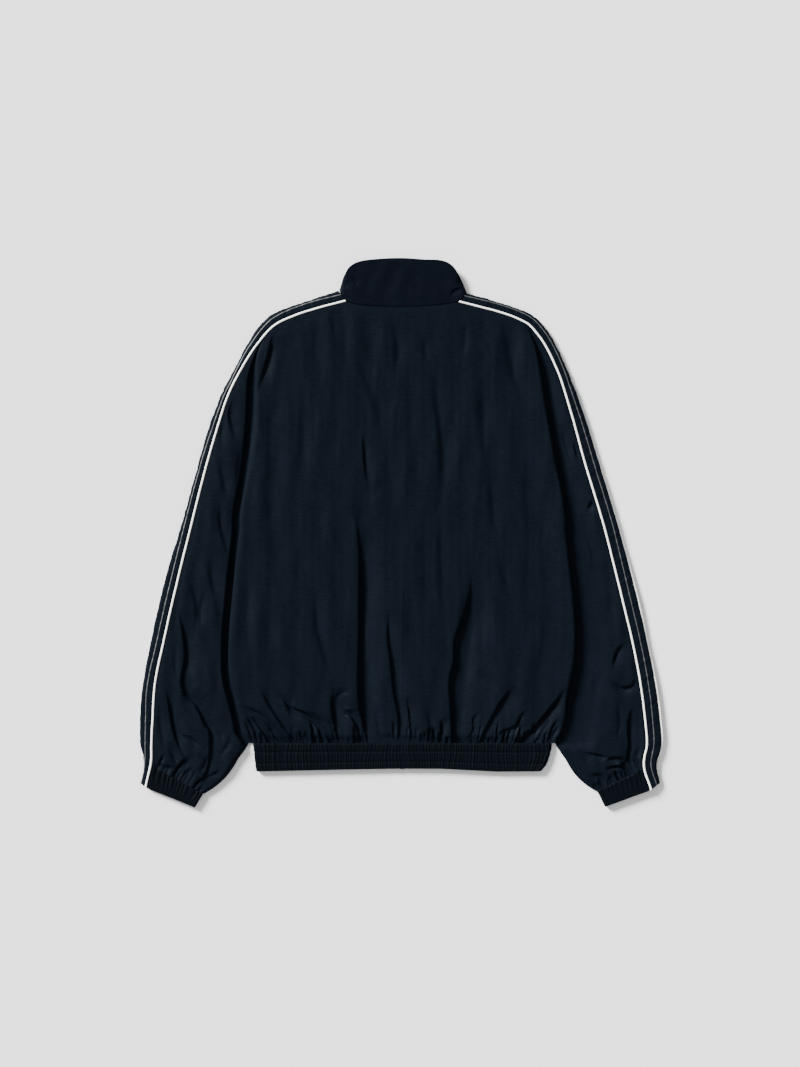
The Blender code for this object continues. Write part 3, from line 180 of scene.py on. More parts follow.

# %% [markdown]
# ## Crinkle nylon
#
# The shell is crinkle nylon: a thin plain weave of fine filament yarn, dyed navy and shrunk in a hot wash,
# so that short creases run along it and across it. That gives the eye a dry, slightly pearly surface: a
# soft sheen, and small creases that catch the light. Two stretched noises draw the creases, one each way,
# and a third draws the threads. The creases also set the colour, which is painted shade and light: darker
# in their hollows and lighter on their ridges, mixed with patches of uneven dye. The real threads are
# about 0.15 mm apart, too fine to show, so they are drawn 0.9 mm apart.

# %% Noise, relief and colour on cloth
CREASE_LONG, CREASE_WIDE = 11.0, 2.0    # millimetres along and across a small crease
PATCH_LONG, PATCH_WIDE = 44.0, 26.0     # the same for a patch that took more or less dye
THREAD = 0.9


def stretched_noise(tree, cloth_map, along, across, detail=3.0):
    """Noise with grains of along x across millimetres on the cloth."""
    placed = add_node(tree, "ShaderNodeMapping", {"Scale": (1 / along, 1 / across, 1.0)}, Vector=cloth_map)
    return add_node(tree, "ShaderNodeTexNoise", {"Scale": 1.0, "Detail": detail, "Roughness": 0.55},
                    Vector=placed.outputs["Vector"]).outputs["Fac"]


def blend_sum(tree, first, second, share):
    """first * (1 - share) + second * share."""
    return add_node(tree, "ShaderNodeMix", {"Factor": share}, A=first, B=second).outputs["Result"]


def emboss(tree, shader, pattern, strength, depth):
    """Relief from a grey pattern, depth millimetres deep."""
    bump = add_node(tree, "ShaderNodeBump", {"Strength": strength, "Distance": depth * MM}, Height=pattern)
    tree.links.new(bump.outputs["Normal"], shader.inputs["Normal"])


def tint(tree, shader, pattern, dark, light):
    """Colour from dark to light by a grey pattern."""
    colour = add_node(tree, "ShaderNodeMix", {"data_type": "RGBA"}, Factor=pattern)
    colour.inputs["A"].default_value = linear(dark)
    colour.inputs["B"].default_value = linear(light)
    tree.links.new(colour.outputs["Result"], shader.inputs["Base Color"])


print("small crease:", CREASE_LONG, "x", CREASE_WIDE, "mm")


# %% Crinkle nylon
def woven_cloth(name, dark, light, roughness, crinkle, **more):
    """Nylon with small creases both ways, crinkle millimetres deep."""
    mat, tree, shader = new_material(name, dark, roughness, **more)
    cloth_map = add_node(tree, "ShaderNodeUVMap", {"uv_map": "cloth"}).outputs["UV"]
    weft = stretched_noise(tree, cloth_map, CREASE_LONG, CREASE_WIDE)
    warp = stretched_noise(tree, cloth_map, CREASE_WIDE, CREASE_LONG * 1.6)
    thread = stretched_noise(tree, cloth_map, THREAD, THREAD, detail=1.0)
    patches = stretched_noise(tree, cloth_map, PATCH_WIDE, PATCH_LONG, detail=2.0)
    creases = blend_sum(tree, weft, warp, 0.3)
    emboss(tree, shader, blend_sum(tree, creases, thread, 0.12), 1.0, crinkle)
    # Painted shade: the colour follows the small creases, darker in their hollows and lighter on their ridges,
    # mixed with patches of uneven dye.
    crease_shade_and_dye = add_node(tree, "ShaderNodeMapRange", {"From Min": 0.36, "From Max": 0.64},
                    Value=blend_sum(tree, creases, patches, 0.3))
    tint(tree, shader, crease_shade_and_dye.outputs["Result"], dark, light)
    shine = {"From Min": 0.3, "From Max": 0.7, "To Min": roughness - 0.07, "To Max": roughness + 0.09}
    dullness = add_node(tree, "ShaderNodeMapRange", shine, Value=creases)
    tree.links.new(dullness.outputs["Result"], shader.inputs["Roughness"])
    return mat


NYLON_SHEEN = {"Specular IOR Level": 0.018, "Sheen Weight": 0.003, "Sheen Roughness": 0.4,
               "Sheen Tint": linear("#b9cbe0")}
crinkle_nylon = woven_cloth("crinkle_nylon", "#05080e", "#080d14", 0.5, 0.42, **NYLON_SHEEN)
faced_nylon = woven_cloth("faced_nylon", "#04060c", "#060911", 0.52, 0.20, **NYLON_SHEEN)
# Painted shade: the casings' nylon is the shell's cloth coloured darker, for the shade between its fine gathers.
elastic_nylon = woven_cloth("ruched_nylon_painted_shade", "#030509", "#05080d", 0.55, 0.20, **NYLON_SHEEN)
print("cloth:", crinkle_nylon.name, faced_nylon.name, elastic_nylon.name)

# %% [markdown]
# ## Trim finishes
#
# The white piping is a bias strip of polyester satin: fine slanted ribs and a soft gloss. The thin line
# in the middle of the sleeve's stripe is a grey braid. The zip has a woven polyester tape, a coil of
# moulded nylon, and a slider and tab of zinc alloy in dark enamel, a little worn in small scattered spots.


# %% Ribbed trim
def ribbed_trim(name, dark, light, roughness, rib, depth, **more):
    """Cloth trim with slanted ribs rib millimetres apart and depth deep, with painted shade in the ribs' grooves.
    """
    mat, tree, shader = new_material(name, dark, roughness, **more)
    cloth_map = add_node(tree, "ShaderNodeUVMap", {"uv_map": "cloth"}).outputs["UV"]
    turned = add_node(tree, "ShaderNodeMapping", {"Rotation": (0, 0, math.radians(35))}, Vector=cloth_map)
    ribs = add_node(tree, "ShaderNodeTexWave", {"Scale": 0.314 / rib, "Distortion": 0.6, "Detail": 1.0},
                    Vector=turned.outputs["Vector"]).outputs["Fac"]
    soil = stretched_noise(tree, cloth_map, 6.0, 14.0)
    emboss(tree, shader, ribs, 0.8, depth)
    # Painted shade: the colour is partly keyed to the ribs, darker in their grooves and lighter on their crests;
    # the rest follows a slow noise of soiling.
    tint(tree, shader, blend_sum(tree, ribs, soil, 0.6), dark, light)
    return mat


piping_satin = ribbed_trim("piping_satin", "#d9d9d4", "#f3f3ee", 0.42, 1.1, 0.08, **{"Sheen Weight": 0.2})
line_braid = ribbed_trim("grey_braid", "#242628", "#343739", 0.5, 0.7, 0.06)
zip_tape = ribbed_trim("zip_tape_twill", "#080c11", "#0e141a", 0.7, 0.8, 0.08)
sewing_thread = ribbed_trim("sewing_thread", "#04070b", "#070b11", 0.6, 0.5, 0.05,
                            **{"Specular IOR Level": 0.03})
print("trim:", piping_satin.name, line_braid.name, zip_tape.name, sewing_thread.name)


# %% Hard finishes
def moulded(name, dark, light, roughness, grain, depth, **more):
    """A hard material with a fine grain, read from the object's own coordinates."""
    mat, tree, shader = new_material(name, dark, roughness, **more)
    place = add_node(tree, "ShaderNodeTexCoord").outputs["Object"]
    spots = add_node(tree, "ShaderNodeTexNoise", {"Scale": 1 / (grain * MM), "Detail": 3.0},
                     Vector=place).outputs["Fac"]
    emboss(tree, shader, spots, 0.5, depth)
    worn = add_node(tree, "ShaderNodeMapRange", {"From Min": 0.55, "From Max": 0.75}, Value=spots)
    tint(tree, shader, worn.outputs["Result"], dark, light)
    return mat


zip_coil = moulded("nylon_coil", "#0d1116", "#171c22", 0.42, 1.2, 0.03, **{"Specular IOR Level": 0.15})
enamelled_zinc = moulded("enamelled_zinc", "#2a2c2f", "#63666a", 0.33, 1.6, 0.04, Metallic=1.0)
print("zip:", zip_coil.name, enamelled_zinc.name)

# %% [markdown]
# ## Closing a grid into cloth
#
# A piece of cloth is a grid of points on its outer face and a second grid a little below it. Faces join
# the points of each grid, and a rim joins their borders, so the piece is a closed thin shell. Every point
# keeps its place on the flat cloth, in millimetres, as a UV map, so the weave follows the piece.


# %% Smooth curves and steps
def curve(keys, values, at):
    """Smooth curve through values at keys, read at one key or an array of them."""
    keys, values = np.asarray(keys, float), np.asarray(values, float)
    slopes = np.gradient(values, keys)
    at = np.clip(at, keys[0], keys[-1])
    i = np.clip(np.searchsorted(keys, at, side="right") - 1, 0, len(keys) - 2)
    span = keys[i + 1] - keys[i]
    t = (at - keys[i]) / span
    return ((2 * t**3 - 3 * t**2 + 1) * values[i] + (t**3 - 2 * t**2 + t) * span * slopes[i]
            + (3 * t**2 - 2 * t**3) * values[i + 1] + (t**3 - t**2) * span * slopes[i + 1])


def ease(value):
    """0 to 1, level at both ends."""
    t = np.clip(value, 0.0, 1.0)
    return t * t * (3 - 2 * t)


def shoulder(value):
    """0 to 1 along a quarter circle, steep at 0 and level at 1."""
    t = np.clip(value, 0.0, 1.0)
    return np.sqrt(1 - (1 - t) ** 2)


def mix(a, b, share):
    return a + (b - a) * share


def run_of(line):
    """Length along a line of points, from 0 at its first."""
    return np.concatenate(([0.0], np.cumsum(np.linalg.norm(np.diff(line, axis=0), axis=1))))


def smoothed(values, reach):
    """Values averaged with reach neighbours on each side."""
    count = 2 * reach + 1
    return np.convolve(np.pad(values, reach, mode="edge"), np.ones(count) / count, mode="valid")


print("halfway between 0 and 1:", ease(0.5), "on a quarter circle:", round(float(shoulder(0.5)), 3))


# %% Closed shells
SHARP_ANGLE = math.radians(60)
HAIR = 1e-12                # keeps a division from meeting a zero


def shell_faces(rows, columns):
    """Quads of both faces and the rim of a shell whose faces are grids of rows x columns points."""
    index = np.arange(rows * columns).reshape(rows, columns)
    quads = np.stack([index[:-1, :-1], index[:-1, 1:], index[1:, 1:], index[1:, :-1]], axis=-1).reshape(-1, 4)
    edge, twin = (np.concatenate([i[0, :-1], i[:-1, -1], i[-1, :0:-1], i[:0:-1, 0]])
                  for i in (index, index + rows * columns))
    rim = np.stack([edge, twin, np.roll(twin, -1), np.roll(edge, -1)], axis=-1)
    return np.concatenate([quads, quads[:, ::-1] + rows * columns, rim])


def close_shell(name, outer, inner, weave, finish):
    """A closed mesh between two grids (rows, columns, 3) of pattern points. weave is (rows, columns, 2)."""
    mesh = bpy.data.meshes.new(name)
    points = np.concatenate([to_world(outer), to_world(inner)])
    points[:, 2] = np.maximum(points[:, 2], 0.0)
    mesh.from_pydata(points, [], shell_faces(*outer.shape[:2]).tolist())
    flat = np.tile(weave.reshape(-1, 2), (2, 1))
    corners = np.zeros(len(mesh.loops), np.int32)
    mesh.loops.foreach_get("vertex_index", corners)
    mesh.uv_layers.new(name="cloth").data.foreach_set("uv", flat[corners].ravel())
    shape = bmesh.new()
    shape.from_mesh(mesh)
    bmesh.ops.recalc_face_normals(shape, faces=shape.faces[:])
    shape.to_mesh(mesh)
    shape.free()
    mesh.shade_smooth()
    mesh.set_sharp_from_angle(angle=SHARP_ANGLE)
    mesh.materials.append(finish)
    piece = bpy.data.objects.new(name, mesh)
    bpy.context.scene.collection.objects.link(piece)
    return piece


def below(outer, thickness):
    """The grid a thickness below outer, measured across the cloth."""
    normal = np.cross(np.gradient(outer, axis=1), np.gradient(outer, axis=0))
    normal /= np.linalg.norm(normal, axis=-1, keepdims=True) + HAIR
    normal *= np.sign(normal[..., 2:3] + HAIR)
    return outer - normal * thickness


print("faces of a 3 x 3 grid:", len(shell_faces(3, 3)))

# %% [markdown]
# ## Finishing a piece
#
# A finished piece moves with the jacket and stands for its solid in the imported model, which it hides.


# %% Dressing a piece
def dress(piece, slot, *nodes):
    """The piece moves with the jacket and stands for its solids, which it hides. slot is not used."""
    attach(piece, "jacket")
    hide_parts(*nodes)
    print(piece.name, len(piece.data.polygons), "faces")
    return piece


# %% [markdown]
# ## Creases
#
# A crease is a line on the cloth with a width and a height; a trough's height is negative. Light cloth
# folds over to one side, so a deep crease drops fast on its upper left side and rises slowly on the
# other, while a shallow one is a soft bell. Each fades out at its ends. Gathers are short deep creases
# that run away from a seam, and slow waves keep the cloth between them from lying flat.

# %% Section of a crease
SOFT_DEPTH, MORE_IF_SHARP = 1.9, 1.8    # depth of a soft crease, and how much deeper a sharp one is
UPPER_LEFT = (-0.75, -0.66)


def smooth_line(points, steps=6):
    """A rounded line through a few points."""
    points = np.array(points, float)
    run = run_of(points)
    at = np.linspace(0, run[-1], steps * (len(points) - 1) + 1)
    return np.stack([curve(run, points[:, 0], at), curve(run, points[:, 1], at)], axis=1)


def crease_sides(width, height):
    """How sharp a crease is, and the widths of its steep side and its gentle side."""
    sharp = ease((abs(height) - SOFT_DEPTH) / MORE_IF_SHARP)
    cliff = mix(1.1, 0.22, sharp) * width + 0.9 * sharp
    slope = mix(1.5, 2.3, sharp) * width + min(4.0, 1.1 * width) * sharp
    return sharp, cliff, slope


def nearest_on(line, x, down):
    """Distance of points from a line, how far they face its upper left, and their place along it."""
    nearest, facing, place = np.full(x.shape, np.inf), np.zeros(x.shape), np.zeros(x.shape)
    for n, (a, b) in enumerate(zip(line, line[1:])):
        run = b - a
        share = np.clip(((x - a[0]) * run[0] + (down - a[1]) * run[1]) / (run @ run), 0, 1)
        dx, dd = x - a[0] - share * run[0], down - a[1] - share * run[1]
        gap = np.hypot(dx, dd)
        closer = gap < nearest
        nearest = np.where(closer, gap, nearest)
        facing = np.where(closer, (dx * UPPER_LEFT[0] + dd * UPPER_LEFT[1]) / (gap + 0.3), facing)
        place = np.where(closer, (n + share) / (len(line) - 1), place)
    return nearest, facing, place


print("sides of a deep crease:", crease_sides(5, -4))


# %% Heights of creases
def crease_heights(creases, x, down):
    """Sum of creases (width, height, kept, point, point, ...) at arrays of points.

    A crease starts thin, and kept is the share of its height that is left at its last point. Soft ones
    add up. Where sharp ones meet, the deepest counts."""
    total, deepest = np.zeros_like(x), np.zeros_like(x)
    for width, height, kept, *points in creases:
        line = smooth_line(points)
        sharp, cliff, slope = crease_sides(width, height)
        reach = 2.4 * slope
        near = ((x > line[:, 0].min() - reach) & (x < line[:, 0].max() + reach)
                & (down > line[:, 1].min() - reach) & (down < line[:, 1].max() + reach))
        nearest, facing, place = nearest_on(line, x[near], down[near])
        upper = ease(0.5 + 1.1 * facing)
        valley = np.exp(-(nearest / mix(slope, cliff, upper)) ** mix(1.6, 2.0, upper))
        lip = upper * np.exp(-(nearest / cliff - 2.4) ** 2)
        fade = ease(place / 0.4) * mix(kept, 1.0, ease((1 - place) / 0.45))
        value = fade * height * (valley - 0.10 * sharp * lip)
        total[near] += 0.95 * (1 - sharp) * value
        deepest[near] = np.minimum(deepest[near], min(1.3, 0.8 + 0.12 * width) * sharp * value)
    return total + deepest


print("crease at its middle:", crease_heights([(5, -2, 0, (0, 0), (0, 50))], np.array([0.0]), np.array([25.0])))


# %% Waves and gathers
def undulation(x, down, seed, wide, long, height):
    """Slow uneven waves of the cloth, wide across and long down, the same on every run."""
    chance = np.random.default_rng(seed)
    total = np.zeros_like(x)
    for _ in range(9):
        pitch = wide * chance.uniform(0.7, 1.5)
        slow = long * chance.uniform(0.7, 1.5)
        turn = chance.uniform(0, 2 * math.pi, 3)
        drift = 0.25 * pitch * np.sin(2 * math.pi * down / slow + turn[0])
        total += (np.sin(2 * math.pi * (x + drift) / pitch + turn[1])
                  * np.sin(2 * math.pi * down / slow + turn[2]))
    return height * total / 3.0


def gathers(a, b, pitch, seed, length, depth, slant=0.0):
    """Short creases that run away from a gathered seam from a to b, on its left."""
    chance = np.random.default_rng(seed)
    a, b = np.array(a, float), np.array(b, float)
    total = float(np.linalg.norm(b - a))
    ahead = (b - a) / total
    away = np.array((ahead[1], -ahead[0]))
    made, at = [], 0.0
    while at < total:
        foot = a + ahead * at
        reach = length * chance.uniform(0.35, 1.6)
        drift = ahead * reach * (chance.uniform(-0.15, 0.15) + slant * (at / total - 0.5))
        made.append((chance.uniform(0.15, 0.32) * pitch, -depth * chance.uniform(0.5, 1.2), 1.0,
                     foot + away * reach + drift, foot + away * reach / 2 + drift / 3, foot - away * 2.0))
        at += pitch * chance.uniform(0.6, 1.4)
    return made


print("gathers on 100 mm:", len(gathers((0, 0), (100, 0), 7.4, 71, 20.0, 2.8)))

# %% [markdown]
# ## Outline of the pattern
#
# These tables hold the outline of the laid jacket: the outer edge of each side from the neck to the end
# of the cuff, the sleeve's inner edge, the side of the body, the collar and the hem.

# %% Tables of the outline
STRIP_WIDTH = 24.0          # between the middles of a stripe's two white pipings
PIPING_ROOM = 1.6           # from the middle of a piping to the panel beside it
FLOOR_ROOM = 1.3            # height of the stripe's fold above the floor
COLLAR_RADIUS = 5.5         # half the height of the folded collar
BAND_RADIUS = 4.0           # the same for the hem and the cuffs
COLUMN = {LEFT: 1, RIGHT: 2}    # where the tables of both sides hold each one

OUT, DOWN, PIPING, LEAN, RISE = range(5)
EDGE = {  # distance out and down, edge to the piping's middle, slant of the stripe, height at the piping
    LEFT: (
        (88.5, 47.0, 17.0, -0.30, 10.5), (127.0, 60.0, 14.0, -0.10, 9.5), (158.0, 70.5, 13.5, 0.0, 9.0),
        (188.0, 84.0, 14.2, 0.0, 8.7), (217.5, 120.5, 10.5, 0.0, 8.5), (236.0, 156.0, 7.0, 0.0, 8.0),
        (254.5, 190.7, 7.6, 0.0, 8.5), (275.0, 243.0, 10.2, 0.0, 8.0), (295.0, 312.5, 10.4, 0.0, 8.5),
        (316.0, 388.0, 12.4, 0.0, 8.0), (335.5, 451.7, 16.0, 0.0, 8.5), (349.0, 505.0, 16.9, 0.0, 9.0),
        (360.0, 556.0, 16.6, 0.0, 8.5), (371.0, 615.0, 15.7, 0.05, 9.0), (376.2, 665.0, 17.6, 0.15, 8.5),
        (376.5, 705.0, 15.5, 0.30, 9.0), (371.0, 731.5, 9.0, 0.45, 8.5), (376.5, 760.5, 8.4, 0.45, 8.0),
    ),
    RIGHT: (
        (96.0, 51.0, 14.5, -0.30, 10.5), (122.0, 58.0, 14.0, -0.10, 9.5), (148.0, 66.0, 13.0, 0.0, 9.0),
        (172.0, 74.5, 13.0, 0.0, 8.7), (194.0, 85.5, 13.5, 0.0, 8.5), (211.0, 106.0, 12.5, 0.0, 8.5),
        (237.0, 156.0, 11.5, 0.0, 8.0), (257.5, 208.0, 14.5, 0.0, 8.5), (284.0, 290.0, 18.0, 0.0, 8.0),
        (313.0, 385.0, 18.5, 0.0, 8.5), (331.5, 451.7, 20.0, 0.0, 8.0), (345.0, 505.0, 20.5, 0.0, 9.0),
        (356.0, 556.0, 19.5, 0.0, 8.5), (368.0, 615.0, 20.5, 0.05, 9.0), (375.0, 665.0, 21.0, 0.15, 8.5),
        (376.8, 708.0, 20.0, 0.30, 9.0), (369.5, 734.0, 16.0, 0.45, 8.5), (375.0, 760.5, 14.0, 0.45, 8.0),
    ),
}
ARMHOLE_ROW, UNDERARM_ROW, WRIST_ROW, CUFF_ROW = 4, 9, 15, 16
FULLNESS = (  # down, and how much the stripe's fold bulges there on the left and on the right
    (60, 110, 650, 690, 730), (0.6, 1.9, 1.9, 0.3, 0.3), (0.2, 1.9, 1.9, 1.9, 1.4),
)
INNER = {  # out and down, for the rows of EDGE from the fifth
    LEFT: ((211.0, 160.0), (212.0, 196.0), (214.5, 245.0), (221.5, 305.0), (232.5, 393.0), (213.0, 450.0),
           (193.0, 508.0), (186.5, 567.0), (191.0, 622.0), (206.0, 672.0), (236.0, 726.0),
           (285.0, 776.0), (298.0, 796.0)),
    RIGHT: ((193.5, 125.0), (203.0, 165.0), (209.0, 207.0), (222.5, 283.0), (238.5, 393.0), (219.0, 450.0),
            (199.0, 508.0), (191.0, 567.0), (196.0, 622.0), (211.0, 672.0), (241.0, 728.0),
            (284.0, 772.0), (296.5, 795.0)),
}
SIDE = np.array((  # down, and the distance out of the body's side on the left and on the right
    (393.0, 232.5, 238.5), (437.0, 237.8, 243.5), (495.0, 243.6, 250.1), (553.0, 248.2, 253.2),
    (582.0, 248.7, 251.6), (611.0, 246.8, 246.0), (640.0, 239.5, 240.0), (669.0, 232.7, 237.5),
    (690.0, 227.5, 230.5), (702.5, 217.5, 222.0),
))
COLLAR_BACK = (  # x and down on the seam, x and down on the top edge
    (-88.5, 47.0, -83.0, 28.0), (-77.6, 61.6, -74.0, 13.0), (-60.0, 67.5, -58.0, 4.5),
    (-30.0, 69.5, -29.0, 1.0), (4.0, 70.3, 3.0, 0.0), (38.0, 69.0, 34.0, 2.0),
    (66.0, 66.5, 60.0, 3.5), (84.0, 61.6, 77.0, 13.0), (96.4, 51.5, 90.0, 35.0),
)
COLLAR_FRONT = {
    LEFT: ((-88.5, 47.0, -83.0, 28.0), (-80.0, 74.0, -72.0, 24.0), (-55.0, 98.0, -50.0, 36.0),
           (-1.0, 113.0, -1.0, 48.0)),
    RIGHT: ((96.4, 51.5, 90.0, 35.0), (86.0, 76.0, 78.0, 31.0), (61.0, 98.0, 56.0, 38.0),
            (7.0, 113.0, 7.0, 48.0)),
}
HEM = (  # below the seam, and the distance out of the hem's ends on the left and on the right
    (0.0, 12.0, 30.0, 38.5), (214.6, 213.0, 211.0, 209.0), (219.7, 218.0, 212.5, 203.5),
)


def side_out(side, down):
    """Distance out of the body's side edge."""
    return curve(SIDE[:, 0], SIDE[:, COLUMN[side]], down)


print("body at the underarm:", side_out(LEFT, UNDERARM_DOWN) + side_out(RIGHT, UNDERARM_DOWN), "mm wide")


# %% [markdown]
# ## The outer edge and its stripe
#
# A stripe strip folds round the outer edge of each side. One ring of points gives its section at one
# place along the edge: level from the white piping on top, round the fold, and back below.


# %% Outer edge of one side
class SleeveEdge:
    """The outer edge of one side, with the stripe's rounded fold and the sleeve's inner edge."""

    def __init__(self, side):
        self.side = side
        self.table = np.array(EDGE[side])
        self.keys = run_of(self.table[:, :2])
        self.start, self.end = 1.2 if side == LEFT else -3.5, self.keys[-1]
        self.armhole, self.underarm, self.cuff = self.keys[[ARMHOLE_ROW, UNDERARM_ROW, CUFF_ROW]]
        tip = self.offset(self.armhole, self.read(PIPING, self.armhole) + PIPING_ROOM + 2.0)
        self.inner_rows = np.vstack([tip, INNER[side]])

    def read(self, column, key):
        return curve(self.keys, self.table[:, column], key)

    def point(self, key):
        """Out and down of the edge, straight on before its first row."""
        before = np.minimum(key, 0.0)
        out, down = self.table[1, :2] - self.table[0, :2]
        length = math.hypot(out, down)
        return np.stack([self.read(OUT, key) + before * out / length,
                         self.read(DOWN, key) + before * down / length], axis=-1)

    def offset(self, key, distance):
        """Points a distance in from the edge, as out and down."""
        key, distance = np.broadcast_arrays(np.asarray(key, float), np.asarray(distance, float))
        step = self.point(key + 3.0) - self.point(key - 3.0)
        tangent = step / np.linalg.norm(step, axis=-1, keepdims=True)
        inward = np.stack([-tangent[..., 1], tangent[..., 0]], axis=-1)
        return self.point(key) + distance[..., None] * (inward + self.read(LEAN, key)[..., None] * tangent)

    def inner(self, key):
        """The sleeve's inner edge: the armhole, then its underarm fold, full above the cuff."""
        line = np.stack([curve(self.keys[ARMHOLE_ROW:], self.inner_rows[:, n], key) for n in (0, 1)], axis=-1)
        share = np.clip((key - self.keys[WRIST_ROW]) / (self.cuff - self.keys[WRIST_ROW]), 0, 1)
        return line + 5.5 * np.asarray(np.sin(np.pi * share))[..., None] * np.array((-0.72, 0.70))

    def section(self, key):
        """The stripe's section, from past the back piping round the fold: distance in and height."""
        piping, rise = float(self.read(PIPING, key)), float(self.read(RISE, key))
        radius = (rise - 1.0 - FLOOR_ROOM) / 2
        turns = np.linspace(0, math.pi, 17)
        full = radius + float(np.interp(self.read(DOWN, key), FULLNESS[0], FULLNESS[COLUMN[self.side]]))
        arc = np.stack([radius - full * np.sin(turns), FLOOR_ROOM + radius * (1 + np.cos(turns))], axis=1)
        shelf = (mix(piping, radius, 0.5), mix(rise, FLOOR_ROOM + 2 * radius, 0.35))
        return np.vstack([(piping + 4.0, rise), (piping, rise), shelf, arc, (STRIP_WIDTH + 12.0, FLOOR_ROOM)])

    def ring(self, key, widths, lifts):
        """Points of the stripe at one key: widths from the back piping's middle, lifts off its face."""
        line = self.section(key)
        run = run_of(line)
        run -= run[1]
        widths, lifts = np.asarray(widths, float), np.asarray(lifts, float)
        here, ahead, behind = (np.stack([np.interp(w, run, line[:, n]) for n in (0, 1)], axis=-1)
                               for w in (widths, widths + 0.8, widths - 0.8))
        turn = (ahead - behind) / np.linalg.norm(ahead - behind, axis=-1, keepdims=True)
        distance, height = (here + np.stack([turn[:, 1], -turn[:, 0]], axis=1) * lifts[:, None]).T
        out, down = self.offset(key, distance).T
        return np.stack([self.side * out, down, height], axis=-1)

    def front_reach(self, key):
        """Distance in from the edge at which the sleeve's front half starts."""
        x, down, _ = self.ring(key, [STRIP_WIDTH], [-0.8])[0]
        return float(np.linalg.norm((self.side * x, down) - self.offset(key, 0.0))) + PIPING_ROOM + GAP

    def front_row(self, key):
        """Both ends of the sleeve's front half at one key, at least 2 mm apart."""
        start, base, inner = self.offset(key, self.front_reach(key)), self.offset(key, 0.0), self.inner(key)
        inward = (start - base) / np.linalg.norm(start - base)
        return start, (inner if float(np.dot(inner - start, inward)) > 2.0 else start + inward * 2.0)


edges = {side: SleeveEdge(side) for side in (LEFT, RIGHT)}
print("outer edges:", [round(float(edge.end)) for edge in edges.values()], "mm long")

# %% [markdown]
# ## Stripes with their pipings
#
# The stripe strip is cut on its own, 24 mm wide between two white pipings. Its cloth puckers a little
# between the two seams. Each piping is a folded bias strip that stands a little proud, and the seams pull
# it slightly off a straight line. A thin grey braid runs down the middle.

# %% Puckers and the braid's place
BRAID = {  # distances down, and how far the grey braid shows from the back piping there
    LEFT: ((60, 104, 176, 277, 380, 495, 568, 640, 700), (10.9, 8.5, 4.4, 7.9, 9.3, 9.5, 9.7, 11.1, 9.1)),
    RIGHT: ((60, 104, 176, 277, 380, 495, 640, 700), (10.5, 10.0, 8.7, 12.2, 12.5, 11.4, 11.2, 10.4)),
}
PUCKERS = ((9.0, 0.22), (14.0, 0.25), (23.0, 0.30), (41.0, 0.35))   # pitch and height


def braid_width(edge, key):
    """Width on the strip at which the braid shows as far from the piping as its table says."""
    widths = np.linspace(0, 16, 33)
    plan = edge.ring(key, widths, 0 * widths)[:, :2]
    gone = np.linalg.norm(plan - plan[0], axis=1)
    last = int(np.argmax(gone))
    shown = min(float(np.interp(edge.read(DOWN, key), *BRAID[edge.side])), gone[last] - 1.0)
    return float(np.interp(shown, gone[:last + 1], widths[:last + 1]))


def pucker(key, width, seed):
    """Height of the stripe's small puckers, and of the braid that lies on them."""
    chance = np.random.default_rng(seed)
    total = np.zeros(np.broadcast(key, width).shape)
    for pitch, height in PUCKERS:
        turn = chance.uniform(0, 2 * math.pi, 2)
        total += height * np.sin(2 * math.pi * (key + 0.35 * width) / pitch + turn[0]) \
            * np.sin(2 * math.pi * key / (pitch * 5.3) + turn[1])
    return total * np.sin(math.pi * np.clip(width / STRIP_WIDTH, 0, 1))


print("braid at the shoulder:", round(braid_width(edges[LEFT], edges[LEFT].armhole), 1), "mm across the strip")

# %% A piece along the stripe
STRIPE_RINGS = 430
WAVER = ((5.1, 1.0), (11.7, 1.0), (2.3, 0.5))   # how a seam strays: length of a wave and its share


def along_stripe(edge, name, middle, half, top, bottom, columns, wobble, finish, seed):
    """A piece that runs along the stripe: top and bottom give its lifts by place across, from -1 to 1."""
    chance = np.random.default_rng(seed)
    keys = np.linspace(edge.start, edge.end, STRIPE_RINGS)
    middle = [middle(edge, key) for key in keys] if callable(middle) else np.full(len(keys), middle)
    phases = chance.uniform(0, 2 * math.pi, 3)
    stray = wobble * sum(np.sin(keys / wave + phase) * share for (wave, share), phase in zip(WAVER, phases))
    place = np.linspace(-1, 1, columns)
    outer, inner = [], []
    for key, centre, off in zip(keys, middle, stray):
        widths = centre + half * place + off
        relief = pucker(key, widths, 31 + int(edge.side))
        outer.append(edge.ring(key, widths, relief + top(place) + 0.6 * off))
        inner.append(edge.ring(key, widths, relief + bottom(place)))
    weave = np.stack(np.meshgrid(half * place, keys), axis=-1)
    return close_shell(name, np.array(outer), np.array(inner), weave, finish), weave


# %% Stripes, braids and pipings
STRIP_EDGES = (PIPING_ROOM - 0.2, STRIP_WIDTH - PIPING_ROOM - 3 * GAP)
BRAID_HALF, PIPING_HALF = 0.75, 1.35


